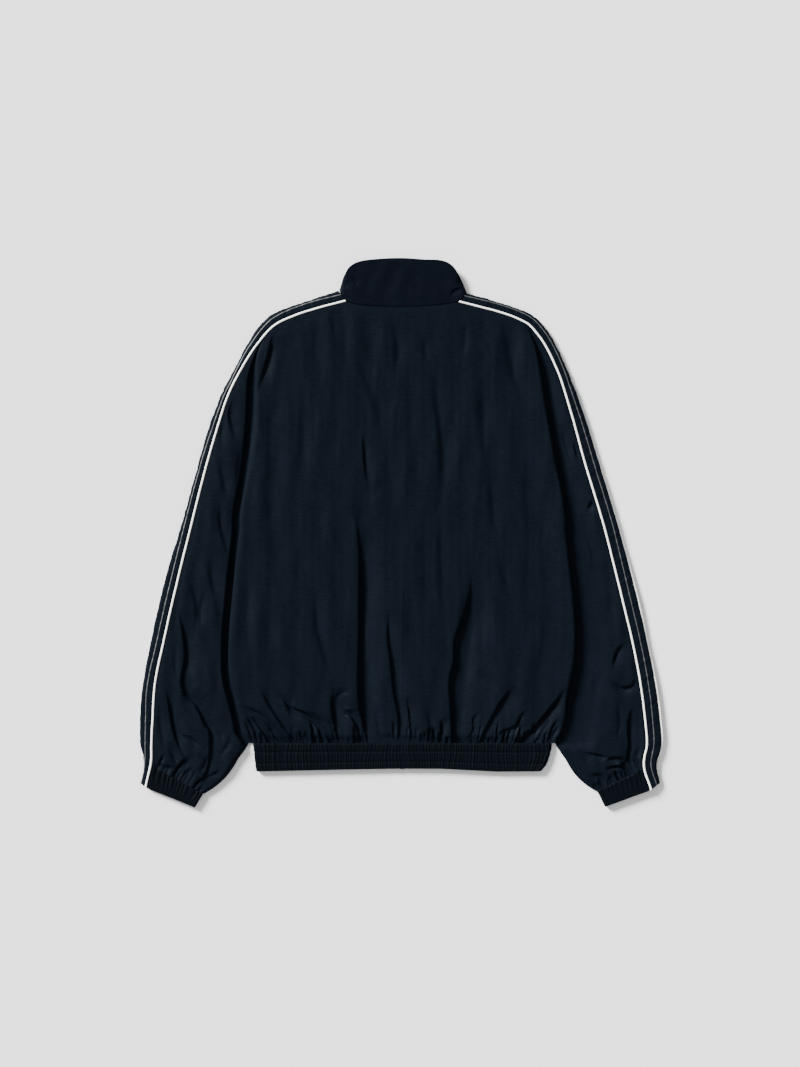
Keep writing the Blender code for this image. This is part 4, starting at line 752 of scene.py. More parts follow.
def stripe_pieces(side, edge, name):
    """A strip with its braid and its two pipings."""
    low, high = STRIP_EDGES
    strip, weave = along_stripe(edge, f"stripe_{name}", (low + high) / 2, (high - low) / 2,
                                lambda p: -0.7 * np.abs(p) ** 14, lambda p: -CLOTH - 0.7 * np.abs(p) ** 14,
                                25, 0.0, crinkle_nylon, 40)
    dress(strip, "shell_nylon", f"sleeve_strip_{name}")
    line, _ = along_stripe(edge, f"braid_{name}", braid_width, BRAID_HALF, lambda p: 0.55 - 0.3 * p * p,
                           lambda p: 0.05 + 0 * p, 4, 0.03, line_braid, 41 + int(side))
    dress(line, "line_braid", f"strip_line_{name}")
    for place, middle, seed in (("back", 0.0, 50), ("front", STRIP_WIDTH, 60)):
        piping, _ = along_stripe(edge, f"{place}_piping_{name}_satin", middle, PIPING_HALF,
                                 lambda p: 0.1 + 1.0 * np.sqrt(1.02 - p * p), lambda p: -0.8 + 0 * p,
                                 7, 0.04, piping_satin, seed + int(side))
        dress(piping, "piping_satin", f"{place}_piping_{name}")


for side, edge in edges.items():
    stripe_pieces(side, edge, NAMES[side])

# %% [markdown]
# ## Sleeves
#
# Each sleeve has a back half, which shows, and a front half on the floor. The back half swells between
# the piping and the underarm, dips under the side of the body, and is eased into the cuff with small
# gathers. Its creases run down from the bend of the elbow to the wrist.

# %% Sleeve creases
SLEEVE_CREASES = {  # width, height, share kept at the end, then points across and down
    LEFT: (
        (4, -2.8, 0, (-241, 202), (-246, 223), (-236, 266)),
        (4.5, -2.4, 0, (-263, 285), (-256, 318), (-249, 355)),
        (4, -2.6, 0, (-259, 350), (-260, 379), (-244, 440)),
        (4, -2.2, 0, (-275, 431), (-272, 466), (-263, 501)),
        (5, -2.6, 0, (-307, 455), (-294, 498), (-297, 556)),
        (5, -4.4, 0.2, (-322, 500), (-313, 545), (-310, 578), (-313, 606), (-314, 640)),
        (5, -4.4, 0.6, (-315, 540), (-311, 580), (-314, 622), (-295, 646), (-284, 668), (-275, 684),
         (-274, 706), (-276, 733), (-285, 757)),
        (2.2, -3.0, 0.3, (-355, 731), (-342, 736), (-330, 738)),
        (3.5, -4.2, 0.3, (-341, 618), (-335, 640), (-331, 666), (-325, 693), (-316, 713), (-308, 726)),
        (2.6, -4.6, 0.6, (-304, 722), (-314, 728), (-322, 738), (-326, 748)),
        (2.2, -3.4, 0.2, (-328, 685), (-308, 694), (-286, 710)),
        (2.0, -4.0, 0, (-281, 672), (-264, 686), (-256, 708)),
        (2.4, -3.8, 0.6, (-254, 739), (-274, 748), (-288, 755), (-296, 761)),
        (3.5, -2.0, 0, (-349, 640), (-346, 684), (-337, 721)),
        (3, -2.4, 0, (-337, 701), (-328, 721), (-323, 739)),
        (3, -2.8, 0, (-302, 716), (-311, 736), (-320, 753)),
        (7, -1.6, 0, (-283, 524), (-273, 582), (-259, 640)),
        (4, -1.6, 0, (-233, 125), (-239, 162), (-233, 194)),
        (4, -1.6, 0, (-228, 263), (-233, 307), (-239, 350)),
        (3, -1.6, 0, (-283, 481), (-289, 513), (-286, 544)),
        (4, -1.6, 0, (-259, 211), (-262, 240), (-254, 272)),
        (3, -1.4, 0, (-323, 553), (-326, 582), (-321, 617)),
        (3.4, -2.0, 0, (-276, 716), (-282, 733), (-294, 750)),
        (3, -1.8, 0, (-243, 684), (-249, 704), (-263, 724)),
    ),
    RIGHT: (
        (9, -3.2, 0, (282, 425), (274, 470), (268, 505)),
        (2.6, -3.4, 0, (329, 555), (315, 568), (310, 582), (308, 599)),
        (2.2, -3.8, 0.2, (301, 610), (309, 616), (322, 623), (332, 621), (343, 608)),
        (6, -2.6, 0, (280, 585), (282, 612), (282, 639), (280, 656)),
        (4.0, -4.2, 0.6, (339, 645), (332, 666), (331, 686), (332, 706), (329, 723), (327, 740)),
        (2.0, -4.2, 0, (261, 716), (282, 719), (295, 723), (304, 730)),
        (2.0, -4.0, 0.5, (293, 731), (303, 725), (314, 724), (323, 731), (328, 741)),
        (2.2, -4.6, 0.4, (297, 750), (299, 740), (312, 736), (325, 741), (329, 753), (322, 763)),
        (2.2, -4.8, 0.5, (271, 748), (287, 750), (293, 761), (292, 770)),
        (2.2, -3.8, 0.4, (335, 723), (342, 733), (347, 740)),
        (4, -3.2, 0, (225, 118), (231, 154), (240, 194)),
        (3.6, -3.2, 0, (231, 234), (237, 263), (247, 295)),
        (4.5, -3.4, 0, (240, 307), (249, 350), (263, 394)),
        (4, -3.2, 0, (260, 379), (275, 420), (285, 466)),
        (6, -1.8, 0, (301, 437), (304, 495), (295, 553)),
        (4, -2.2, 0, (254, 640), (260, 676), (275, 710)),
        (3, -2.4, 0, (252, 701), (266, 721), (278, 745)),
        (3, -1.8, 0, (314, 640), (318, 672), (312, 704)),
        (3, -3.4, 0, (247, 263), (257, 281), (275, 289)),
        (3, -3.4, 0, (269, 368), (278, 353), (286, 347)),
        (3.4, -2.0, 0, (347, 705), (341, 723), (333, 736)),
        (5, -1.8, 0, (272, 495), (281, 539), (275, 582)),
    ),
}

# %% Rows of a sleeve's back half
SLEEVE_ROWS, SLEEVE_COLUMNS, HIDDEN_COLUMNS = 320, 84, 4
FINE_LENGTH, COARSE_SHARE = 115.0, 0.64     # the wrist's finer rows, and the share of rows before them
UNDER_BODY = WALL + GAP     # underside of the back half where the body lies on it


def visible_share(edge, outer, inner):
    """How much of a sleeve's row, from its outer end, is clear of the side of the body."""
    share = 1.0
    if not UNDERARM_DOWN < inner[1] < HEM_DOWN + 30.0:
        return share
    for _ in range(6):
        down = mix(outer[1], inner[1], share)
        share = (outer[0] - float(side_out(edge.side, down))) / (outer[0] - inner[0])
        if share >= 1.0 or down > HEM_DOWN:
            return 1.0
    return share


def across_sleeve(edge, outer, inner):
    """Shares across each row: the last columns lie under the body, and the others in sight."""
    seen = np.array([min(visible_share(edge, a, b), 0.96) for a, b in zip(outer, inner)])
    seen = smoothed(seen, 6)[:, None]
    stops = np.concatenate([np.linspace(0, 1, SLEEVE_COLUMNS), np.linspace(1, 2, HIDDEN_COLUMNS + 1)[1:]])[None]
    return np.where(stops <= 1, stops * seen, mix(seen, 1.0, stops - 1))


print("sleeve's grid:", SLEEVE_ROWS, "x", SLEEVE_COLUMNS + HIDDEN_COLUMNS, "points")

# %% Heights of a sleeve's back half
SWELL = {LEFT: 2.2, RIGHT: 0.6}         # how much the sleeve is blown up between its edges
CUFF_GATHERS = {LEFT: 2.8, RIGHT: 5.0}  # depth of the gathers over the cuff
RIGHT_GROOVE = ((130.0, 330.0, 480.0), (6.0, 11.0, 15.0))   # down, and the width of its floor
ROUNDED_DOWN, ROUNDED_OVER = 690.0, 22.0    # where the groove ends and the wrist's round edge starts


def armhole_height(down):
    """Height of the seam between a sleeve and the body, falling towards the underarm."""
    return mix(6.0, 3.0, ease((down - 108.0) / 80.0))


def sleeve_relief(edge, x, down):
    """The sleeve's creases, the gathers over its cuff and slow waves."""
    end = edge.offset(edge.cuff, edge.read(PIPING, edge.cuff)), edge.inner(edge.cuff)
    ends = [(edge.side * p[0], p[1]) for p in (end if edge.side == LEFT else end[::-1])]
    made = list(SLEEVE_CREASES[edge.side]) + gathers(*ends, 7.4, 71, 20.0, CUFF_GATHERS[edge.side])
    return crease_heights(made, x, down) + undulation(x, down, 81 + int(edge.side), 24.0, 240.0, 0.5)


def groove(edge, width, down, from_inner):
    """How high the cloth has climbed from the groove beside the body, 0 to 1, and the groove's widths."""
    if edge.side == LEFT:
        floor_width, rise_width = 5.5, 6.5
        climb = np.minimum(1.0, 0.45 * width / (floor_width + rise_width))
        level = ease((from_inner - floor_width * climb) / (rise_width * climb))
        edge_fall = shoulder(from_inner / np.minimum(9.0, 0.6 * width))
    else:
        floor_width = np.minimum(np.interp(down, *RIGHT_GROOVE), 0.3 * width)
        rise_width = np.minimum(56.0, 0.64 * width)
        level = ease((from_inner - floor_width) / rise_width)
        edge_fall = mix(shoulder(from_inner / 4.0), ease(from_inner / (0.6 * width)), 0.6)
    return mix(level, edge_fall, ease((down - ROUNDED_DOWN) / ROUNDED_OVER)), floor_width, rise_width


print("seam at the shoulder:", armhole_height(108.0), "mm high")


# %% Back halves of the sleeves
def sleeve_back(edge):
    keys = np.interp(np.linspace(0, 1, SLEEVE_ROWS), (0, COARSE_SHARE, 1),
                     (edge.armhole, edge.cuff - FINE_LENGTH, edge.cuff - GAP))
    outer, inner = edge.offset(keys, edge.read(PIPING, keys) + PIPING_ROOM), edge.inner(keys)
    share = across_sleeve(edge, outer, inner)
    plan = outer[:, None] + (inner - outer)[:, None] * share[..., None]
    out, down = plan[..., 0], plan[..., 1]
    x = edge.side * out
    width = np.linalg.norm(inner - outer, axis=-1)[:, None]
    rise = edge.read(RISE, keys)[:, None]
    from_outer, from_inner = share * width, (1 - share) * width
    relief = sleeve_relief(edge, x, down)
    relief *= np.clip(from_outer / 7.0, 0, 1) * np.clip(from_inner / 8.0, 0, 1)
    crown = rise + SWELL[edge.side] * np.sin(np.pi * share) * np.clip(width / 60.0, 0, 1)
    top = np.maximum(crown + relief, UNDER_BODY + 2.2)
    below_arm = ease((down - UNDERARM_DOWN + 30.0) / 30.0)
    seam = mix(armhole_height(down), UNDER_BODY + WALL, ease((down - UNDERARM_DOWN + 30.0) / 45.0))
    climbed, floor_width, rise_width = groove(edge, width, down, from_inner)
    to_cuff = ease((edge.cuff - keys)[:, None] / 16.0)
    top = mix(np.minimum(top, 2 * BAND_RADIUS + 0.7 + 0.7 * relief), top, to_cuff)
    top = mix(seam - 0.6, top, climbed)
    top = mix(rise, top, ease(from_outer / np.minimum(8.0, 0.5 * width)))
    top -= 0.9 * np.exp(-(from_outer / 1.3) ** 2)
    clear = out - side_out(edge.side, down)
    under = ease((floor_width + rise_width - clear) / rise_width) * ease((HEM_DOWN + 12.0 - down) / 14.0)
    top = mix(top, UNDER_BODY + CLOTH + 0.2, below_arm * under)
    points = np.stack([x, down, top], axis=-1)
    weave = np.stack([share * width, np.broadcast_to(keys[:, None], share.shape)], axis=-1)
    piece = close_shell(f"sleeve_back_{NAMES[edge.side]}_cloth", points, below(points, CLOTH), weave,
                        crinkle_nylon)
    dress(piece, "shell_nylon", f"sleeve_back_{NAMES[edge.side]}")


print("the back halves lie at least", UNDER_BODY + 2.2, "mm high over the body's edge")


# %% Front halves of the sleeves
def sleeve_front(edge):
    """A flat panel on the floor, from the front piping to the underarm's fold."""
    keys = np.linspace(edge.armhole, edge.cuff - GAP, 120)
    start, finish = (np.array(ends)[:, None] for ends in zip(*[edge.front_row(key) for key in keys]))
    plan = start + (finish - start) * np.linspace(0, 1, 16)[None, :, None]
    low = np.stack([edge.side * plan[..., 0], plan[..., 1], np.zeros(plan.shape[:2])], axis=-1)
    weave = np.stack([np.linalg.norm(plan - plan[:, :1], axis=-1),
                      np.broadcast_to(keys[:, None], plan.shape[:2])], axis=-1)
    piece = close_shell(f"sleeve_front_{NAMES[edge.side]}_cloth", low, low + (0, 0, CLOTH), weave,
                        crinkle_nylon)
    dress(piece, "shell_nylon", f"sleeve_front_{NAMES[edge.side]}")


for edge in edges.values():
    sleeve_back(edge)
    sleeve_front(edge)

# %% [markdown]
# ## Back
#
# The back is one large panel from the neck seam to the hem, and from piping to piping over the shoulders.
# It lies on the fronts and on the hidden parts of the sleeves. Long soft folds run down it, one deep one
# left of the middle, and short creases fan out from the hem's corners. Small gathers run up from the hem.

# %% Back creases
BACK_CREASES = (  # width, height, share kept at the end, then points across and down
    (3.4, -4.0, 0.3, (-184, 104), (-187, 128), (-195, 158), (-205, 188)),
    (9, -2.0, 0, (-160, 92), (-169, 133), (-176, 205), (-185, 249), (-189, 307)),
    (10, -2.2, 0, (-189, 285), (-185, 365), (-181, 437), (-191, 510)),
    (8, -2.6, 0, (-73, 118), (-47, 176), (-31, 220), (-25, 278)),
    (2.6, -3.2, 0.3, (-54, 248), (-52, 282), (-49, 312), (-45, 330)),
    (4, -1.8, 0, (-50, 349), (-36, 337), (-18, 324)),
    (10.0, -6.2, 1, (-70, 347), (-62, 379), (-57, 415), (-56, 495), (-56.5, 560), (-58, 610), (-54, 663),
     (-45, 703)),
    (4.5, -2.3, 0, (-121, 470), (-118, 543), (-105, 585), (-91, 620)),
    (3.5, -4.2, 1, (-94, 625), (-98, 640), (-97, 662), (-90, 701)),
    (2.6, -1.8, 0.3, (-70, 626), (-86, 630), (-96, 643)),
    (2.6, -4.6, 1, (-90, 653), (-76, 657), (-66, 671), (-60, 694)),
    (4.5, -4.4, 1, (-12, 480), (-18, 534), (-12, 592), (-8, 630), (-2, 663), (-3, 703)),
    (4, -1.4, 0, (34, 111), (36, 133), (37, 154)),
    (8, -2.8, 0.4, (51, 150), (54, 205), (63, 292), (60, 350)),
    (7, -2.5, 0.3, (61, 320), (60, 400), (62, 470), (68, 570)),
    (7, -1.6, 0.3, (34, 380), (36, 470), (33, 560)),
    (4, -1.8, 0, (96, 86), (94, 112), (94, 144)),
    (7, -2.4, 0, (121, 159), (121, 220), (123, 278), (131, 314)),
    (7, -2.6, 0, (128, 304), (136, 365), (140, 426)),
    (7, -2.4, 0, (152, 86), (159, 133), (167, 176), (188, 227)),
    (5, -1.6, 0, (144, 434), (153, 466), (163, 498)),
    (2.4, -5.2, 1, (-190, 624), (-170, 637), (-160, 650), (-141, 659), (-121, 675), (-100, 700)),
    (2.6, -5.0, 1, (-132, 656), (-115, 672), (-105, 688), (-93, 703)),
    (3.0, -4.2, 1, (-207, 614), (-189, 646), (-170, 675), (-148, 702)),
    (2.2, -5.4, 1, (-233, 645), (-208, 659), (-183, 682), (-161, 703)),
    (2.0, -5.0, 1, (-220, 657), (-199, 685), (-188, 703)), (2.0, -4.6, 1, (-194, 674), (-172, 703)),
    (3.2, -4.0, 1, (6, 622), (12, 656), (16, 703)),
    (3, -2.2, 1, (-37, 640), (-33, 669), (-27, 703)),
    (3, -2.0, 1, (38, 649), (44, 675), (47, 703)),
    (3, -2.4, 1, (67, 658), (63, 681), (57, 703)),
    (10, -6.4, 0.8, (103, 440), (101, 495), (92, 527), (82, 553), (80, 590), (75, 608), (76, 645),
     (79, 703)),
    (16, -2.8, 0.3, (104, 425), (103, 500), (98, 550), (94, 600), (91, 650)),
    (15, -2.8, 0.3, (109, 455), (107, 520), (102, 570), (97, 620), (94, 660)),
    (9, -1.9, 0.2, (101, 450), (98, 520), (93, 570), (89, 620)),
    (8, -2.2, 0, (124, 470), (120, 520), (121, 590), (115, 640)),
    (3.4, -2.0, 0.2, (104, 604), (122, 606), (134, 616), (141, 634)),
    (5, -3.6, 1, (172, 617), (150, 639), (134, 665), (115, 701)),
    (2.4, -4.2, 1, (121, 651), (105, 668), (105, 682), (92, 702)),
    (3.4, -4.8, 1, (245, 617), (226, 642), (210, 662), (190, 685), (171, 703)),
    (2.0, -3.4, 1, (188, 650), (173, 665), (169, 675), (144, 688), (135, 702)),
    (2.0, -3.6, 1, (228, 650), (213, 671), (194, 702)), (1.8, -3.2, 1, (231, 670), (214, 702)),
    (5, -1.6, 0, (-146, 125), (-140, 234), (-143, 350)),
    (9, -1.6, 0, (-138, 350), (-146, 437), (-137, 582)),
    (7, -1.4, 0, (21, 176), (17, 249), (25, 321)),
    (9, -1.6, 0, (94, 307), (101, 379), (98, 444)),
    (8, -1.6, 0, (183, 278), (188, 379), (185, 495)),
    (10, -2.0, 0, (207, 379), (214, 495), (210, 597)),
    (6, -1.8, 0, (-218, 437), (-221, 524), (-210, 617)),
    (4, -1.6, 0, (-102, 60), (-99, 86), (-91, 118)),
    (4, -1.4, 0, (-11, 92), (-4, 133), (-7, 176)),
    (17, 1.6, 0, (-26, 430), (-24, 560), (-20, 640)),
    (17, 2.0, 0, (128, 430), (132, 520), (128, 590)),
    (14, 1.6, 0, (-215, 470), (-208, 540), (-200, 600)),
    (14, 1.6, 0, (215, 440), (208, 520), (205, 590)),
)
PRESSED_LINE = ((0.9, 0.55, 1, (4, 320), (3, 450), (2, 580), (2, 704)),)    # left by folding the jacket
print("creases on the back:", len(BACK_CREASES))

# %% Body sides and the layers under the back
COVER_MARGIN, COVER_FALL = 11.0, 22.0   # how far the body lies on a sleeve, and how it comes down
SEAM_ROOM = 0.36            # between two panels along a curved seam


ZIP_LIFT = ((74.0, 100.0, 140.0), (4.3, 2.4, 0.5))  # down, and height of the coil off the floor
TENT_HALF, TENT_FALL = 46.0, 29.0   # half the width of cloth that the zip lifts, and of its slope


def zip_lift(down):
    """Height of the coil off the floor: it climbs into the thick collar."""
    return np.interp(down, *ZIP_LIFT)


def zip_tent(x, down):
    """How far the zip holds the fronts off the floor."""
    return zip_lift(down) * ease((TENT_HALF - np.abs(x - ZIP_X)) / TENT_FALL)


def body_edge(edge, inner_line, rows, room=SEAM_ROOM):
    """Out and down of the body's edge: along the armhole, then down the side, room in from the seam."""
    keys = np.linspace(edge.armhole, edge.underarm, rows[0])
    spread = np.interp(np.linspace(0, 1, rows[1] + 1)[1:], (0, 0.52, 1), (0, 0.78, 1))
    downs = UNDERARM_DOWN + (HEM_DOWN - GAP - UNDERARM_DOWN) * spread
    line = np.vstack([inner_line(keys), np.stack([side_out(edge.side, downs), downs], axis=1)])
    turn = np.gradient(line, axis=0)
    turn /= np.linalg.norm(turn, axis=1)[:, None]
    seam = line + room * np.stack([-turn[:, 1], turn[:, 0]], axis=1)
    seam[-1, 1] = line[-1, 1]
    return seam


def fold_out(edge, down):
    """Distance out of the sleeve's hidden underarm fold."""
    keys = np.linspace(edge.underarm, edge.end, 60)
    line = edge.inner(keys)
    return np.interp(down, line[:, 1], line[:, 0])


def front_height(x, down, edge, edge_out):
    """Underside of a front: on the floor, over the sleeve's hidden part, and up to the zip."""
    cover = np.maximum(edge_out - fold_out(edge, down), 0.0) + COVER_MARGIN
    over = ease((cover + COVER_FALL - (edge_out - edge.side * x)) / COVER_FALL)
    return LAYERS_UNDER * over * ease((down - UNDERARM_DOWN + 16.0) / 14.0) + zip_tent(x, down)


print("height of the coil at the collar:", float(zip_lift(60.0)), "mm")

# %% Plan of the back
BACK_COLUMNS, BACK_ROWS = 306, (56, 98)     # rows along the armhole, and along the side
OVERLAP = 0.7               # how far the back reaches over the seams at its sides


def top_border():
    """The back's top edge from armhole to armhole: x, down and height."""
    parts = []
    for side, edge in edges.items():
        keys = np.linspace(edge.armhole, edge.start, 60)
        plan = edge.offset(keys, edge.read(PIPING, keys) + PIPING_ROOM)
        parts.append(np.stack([side * plan[:, 0], plan[:, 1], edge.read(RISE, keys)], axis=1))
    turns = np.linspace(1.45, 6.65, 60)
    table = np.array(COLLAR_BACK)
    neck = np.stack([curve(range(9), table[:, 0], turns), curve(range(9), table[:, 1], turns) + 2 * GAP,
                     np.full(60, 2 * COLLAR_RADIUS)], axis=1)
    line = np.vstack([parts[0], neck, parts[1][::-1]])
    line[0, 0], line[-1, 0] = -edges[LEFT].inner_rows[0, 0] + 0.2, edges[RIGHT].inner_rows[0, 0] - 0.2
    return line[np.argsort(line[:, 0])]


def back_plan():
    """Points of the back, shares across, its left and right edge, and the top edge's down and height."""
    border = top_border()
    x_top = np.linspace(border[0, 0], border[-1, 0], BACK_COLUMNS)
    down_top, rise = (np.interp(x_top, border[:, 0], border[:, n]) for n in (1, 2))
    for _ in range(3):
        rise = smoothed(rise, 3)
    sides = {side: body_edge(edge, edge.inner, BACK_ROWS, -OVERLAP) for side, edge in edges.items()}
    share = ((x_top - x_top[0]) / (x_top[-1] - x_top[0]))[None]
    left_x, right_x = -sides[LEFT][:, :1], sides[RIGHT][:, :1]
    falls = [(line[:, 1:] - line[0, 1]) / (line[-1, 1] - line[0, 1]) for line in (sides[LEFT], sides[RIGHT])]
    down = mix(down_top[None], HEM_DOWN - GAP, mix(falls[0], falls[1], share))
    return mix(left_x, right_x, share), down, share, left_x, right_x, down_top[None], rise[None]


print("grid of the back:", sum(BACK_ROWS), "rows", BACK_COLUMNS, "columns")

# %% Relief of the back
BACK_HEIGHT, BACK_CROWN = 9.6, 1.6      # beside its edges, and the gain towards its middle
LEAST_OVER, LEAST_OVER_ZIP = 2.4, 5.4   # least height over the fronts, and over the zip
HEM_HEIGHT = 7.4            # where the back goes into the hem casing
BULGE, BULGE_WIDTH = 4.0, 26.0          # of the full right side
SIDE_OVER, RIGHT_RISE = 3.1, 3.6        # of the sides over the layers under them
SIDE_ROUND = {LEFT: 12.0, RIGHT: 5.0}   # width of their rounded edge


def back_relief(x, down):
    """Height of the back's creases, gathers, pressed line and slow waves."""
    made = list(BACK_CREASES) + gathers((-214, HEM_DOWN), (219, HEM_DOWN), 6.2, 21, 27.0, 4.8, 0.8)
    relief = crease_heights(made, x, down) + crease_heights(PRESSED_LINE, x, down)
    relief += undulation(x, down, 22, 34.0, 360.0, 0.75) + undulation(x, down, 23, 15.0, 200.0, 0.14)
    return relief


print("the back lies", BACK_HEIGHT, "to", BACK_HEIGHT + BACK_CROWN, "mm high before its creases")


# %% Back
def back_piece():
    x, down, share, left_x, right_x, down_top, rise = back_plan()
    from_side = np.minimum(x - left_x, right_x - x)
    from_top, from_hem = down - down_top, HEM_DOWN - down
    relief = back_relief(x, down)
    relief *= np.clip(from_side / 9.0, 0, 1) * np.clip(from_top / 14.0, 0, 1)
    top = BACK_HEIGHT + BACK_CROWN * ease(from_side / 120.0) + relief
    lowest = zip_tent(x, down) + mix(LEAST_OVER, LEAST_OVER_ZIP, ease((60.0 - np.abs(x - ZIP_X)) / 22.0))
    top = mix(HEM_HEIGHT + 0.9 * relief, top, ease(from_hem / 14.0))
    top = np.maximum(top, lowest)
    bulge = BULGE * np.exp(-((right_x - x) / BULGE_WIDTH) ** 2)
    top += bulge * ease(from_hem / 90.0) * ease((down - 100.0) / 60.0)
    side_level = mix(armhole_height(down) + 0.4, LAYERS_UNDER + SIDE_OVER,
                     ease((down - UNDERARM_DOWN + 45.0) / 45.0))
    right_rise = np.where(share > 0.5, RIGHT_RISE, 0.0) * ease((down - 150.0) / 60.0)
    side_level = side_level + right_rise * ease(from_hem / 60.0)
    rounding = np.where(share < 0.5, SIDE_ROUND[LEFT], SIDE_ROUND[RIGHT])
    top = mix(side_level, top, shoulder(from_side / rounding))
    along_top = mix(np.broadcast_to(rise, top.shape), side_level,
                    ease((10.0 - from_side) / 10.0) * ease(from_top / 3.0))
    top = mix(along_top, top, ease(from_top / 24.0))
    top -= 0.3 * np.exp(-(from_top / 1.4) ** 2)
    for side, edge in edges.items():
        edge_out = -left_x if side == LEFT else right_x
        under = front_height(x, down, edge, edge_out) + LEAST_OVER
        top = np.maximum(top, np.where(side * (x - ZIP_X) >= 0, under, 0.0))
    points = np.stack([x, down, top], axis=-1)
    weave = np.stack([x, down], axis=-1)
    piece = close_shell("back_cloth", points, below(points, CLOTH), weave, crinkle_nylon)
    dress(piece, "shell_nylon", "back")


back_piece()

# %% [markdown]
# ## Fronts
#
# The two fronts lie on the floor with the zip between them. They show only from below, but the jacket can
# be turned over, so each is cloth of its own shape: up over the sleeve's hidden part, and up to the zip.


# %% Fronts
def widen(points, count):
    """A grid resampled to count columns, straight between its points."""
    at = np.linspace(0, points.shape[1] - 1, count)
    low = np.clip(at.astype(int), 0, points.shape[1] - 2)
    return points[:, low] + (points[:, low + 1] - points[:, low]) * (at - low)[None, :, None]


def front_piece(edge):
    side = edge.side
    armhole = np.array([edge.front_row(key)[1] for key in np.linspace(edge.armhole, edge.underarm, 30)])
    sides = body_edge(edge, lambda keys: armhole, (30, 50))
    top = [tuple(sides[0])]
    for share in (0.83, 0.58, 0.33, 0.16):
        key = mix(edge.start, edge.armhole, share)
        top.append(tuple(edge.offset(key, edge.front_reach(key) + 0.8)))
    table = np.array(COLLAR_FRONT[side])
    for turn in (0.7, 1.3, 1.9, 2.4):
        top.append((side * float(curve(range(4), table[:, 0], turn)),
                    float(curve(range(4), table[:, 1], turn)) + 1.0))
    top += [(side * ZIP_X + away, table[-1, 1] + 2 * GAP) for away in (17.0, 4.0)]
    start, end = top[0][0], top[-1][0]
    grid = []
    for edge_out, edge_down in sides:
        share_down = (edge_down - sides[0][1]) / (sides[-1][1] - sides[0][1])
        grid.append([(mix(edge_out, end, max((start - out) / (start - end), 0.05 * n if share_down else 0.0)),
                      mix(down, HEM_DOWN - GAP, share_down), edge_out) for n, (out, down) in enumerate(top)])
    grid = widen(np.array(grid), 60)
    x, down = side * grid[..., 0], grid[..., 1]
    low = np.stack([x, down, front_height(x, down, edge, grid[..., 2])], axis=-1)
    weave = np.stack([x, down], axis=-1)
    piece = close_shell(f"front_{NAMES[side]}_cloth", low, low + (0, 0, CLOTH), weave, crinkle_nylon)
    dress(piece, "shell_nylon", f"front_{NAMES[side]}")


for edge in edges.values():
    front_piece(edge)

# %% [markdown]
# ## Folded bands
#
# The collar, the hem and the cuffs are bands that lie flat: an upper layer, a rounded fold at each side,
# and a lower layer. A column runs from the seam to the free edge, and a turn of 90 degrees puts it on top,
# -90 below. The wall is as thick as the folded cloth, and its free edge is round, because it is a fold.

# %% Band builder

def column_row(base, top, turn=90.0, out=(0.0, 0.0)):
    """One column of a band: its ends in plan, its turn in degrees, and the way that its fold faces."""
    return [*base, *top, turn, *out]


def fold_rows(base, top, outward, radius, turns):
    """Columns round the fold of a band."""
    outward = np.array(outward) / np.linalg.norm(outward)
    return [column_row(np.array(base) - outward * radius, np.array(top) - outward * radius, t, outward)
            for t in turns]


def band_grid(columns, shares, radius, relief):
    """Points of a band whose surface is relief off its round form."""
    table = np.array(columns)
    plan = table[None, :, :2] + (table[:, 2:4] - table[:, :2])[None] * shares[:, None, None]
    turn = np.radians(table[:, 4])[None]
    reach = radius + relief
    plan = plan + table[None, :, 5:7] * (reach * np.cos(turn))[..., None]
    height = radius + reach * np.sin(turn)
    height += np.where(turn < -1.5, zip_tent(plan[..., 0], plan[..., 1]), 0.0)
    return np.concatenate([plan, height[..., None]], axis=-1)


def rounded(shares, length, cloth, at_seam=0.5):
    """How far a face of the band draws in at its ends, for a round free edge and a pinched seam."""
    free = np.clip(1 - (1 - shares) * length / (cloth * 0.5), 0, 1)
    seam = np.clip(1 - shares * length / 2.2, 0, 1)
    return cloth * 0.5 * (1 - np.sqrt(1 - free ** 2)) + at_seam * seam ** 2


FOLD = np.linspace(-90, 90, 13)
print("columns round a fold:", len(FOLD))

# %% [markdown]
# ## Collar
#
# The stand collar is faced and turned, so it is thick and smooth, with a rolled top edge. It is eased
# into the neck seam, which leaves small slanted creases at its lower corners.

# %% Collar
COLLAR_CLOTH, COLLAR_DEPTH = 2.4, 68.0


def collar_at(rows, turn):
    table = np.array(rows)
    x, down, top_x, top_down = (float(curve(range(len(rows)), table[:, n], turn)) for n in range(4))
    return (x, down), (top_x, top_down)


COLLAR_CREASES = (
    (2.0, -4.4, 0, (-73, 26), (-67, 34), (-61, 44)), (1.8, -3.8, 0, (-84, 34), (-81, 40), (-78, 47)),
    (2.0, -6.0, 0, (93, 44), (77, 48), (71, 58)), (1.8, -4.4, 0, (80, 29), (86, 37), (91, 45)),
    (4.0, -1.9, 0, (-38, 30), (-31, 40), (-30, 52)), (3.4, -1.9, 0, (27, 34), (24, 44), (26, 56)),
    (3.4, -1.3, 0, (48, 64), (46, 50), (50, 36)), (5.0, 1.0, 0, (-62, 10), (-20, 8), (30, 8), (64, 12)),
    (4.0, -1.3, 0, (-8, 24), (-6, 38), (-9, 52)),
)


def collar_fold(back, front, outward):
    """Columns round a fold of the collar, from the front layer's to the back layer's first column."""
    outward = np.array(outward) / np.linalg.norm(outward)
    made = []
    for turn in COLLAR_FOLD:
        rolled = math.cos(math.radians(turn))
        rows, start, reach = (front, *FRONT_START) if turn < 0 else (back, *back_start(back, outward))
        base, top = collar_at(rows, start + (reach - start) * (1 - rolled))
        shift = outward * COLLAR_RADIUS * rolled
        made.append(column_row(np.array(base) - shift, np.array(top) - shift, turn, outward))
    return made


def back_start(rows, outward):
    """Turns along the collar's back at a fold and at the first level column."""
    return (0.0, 0.8) if outward[0] < 0 else (8.0, 7.2)


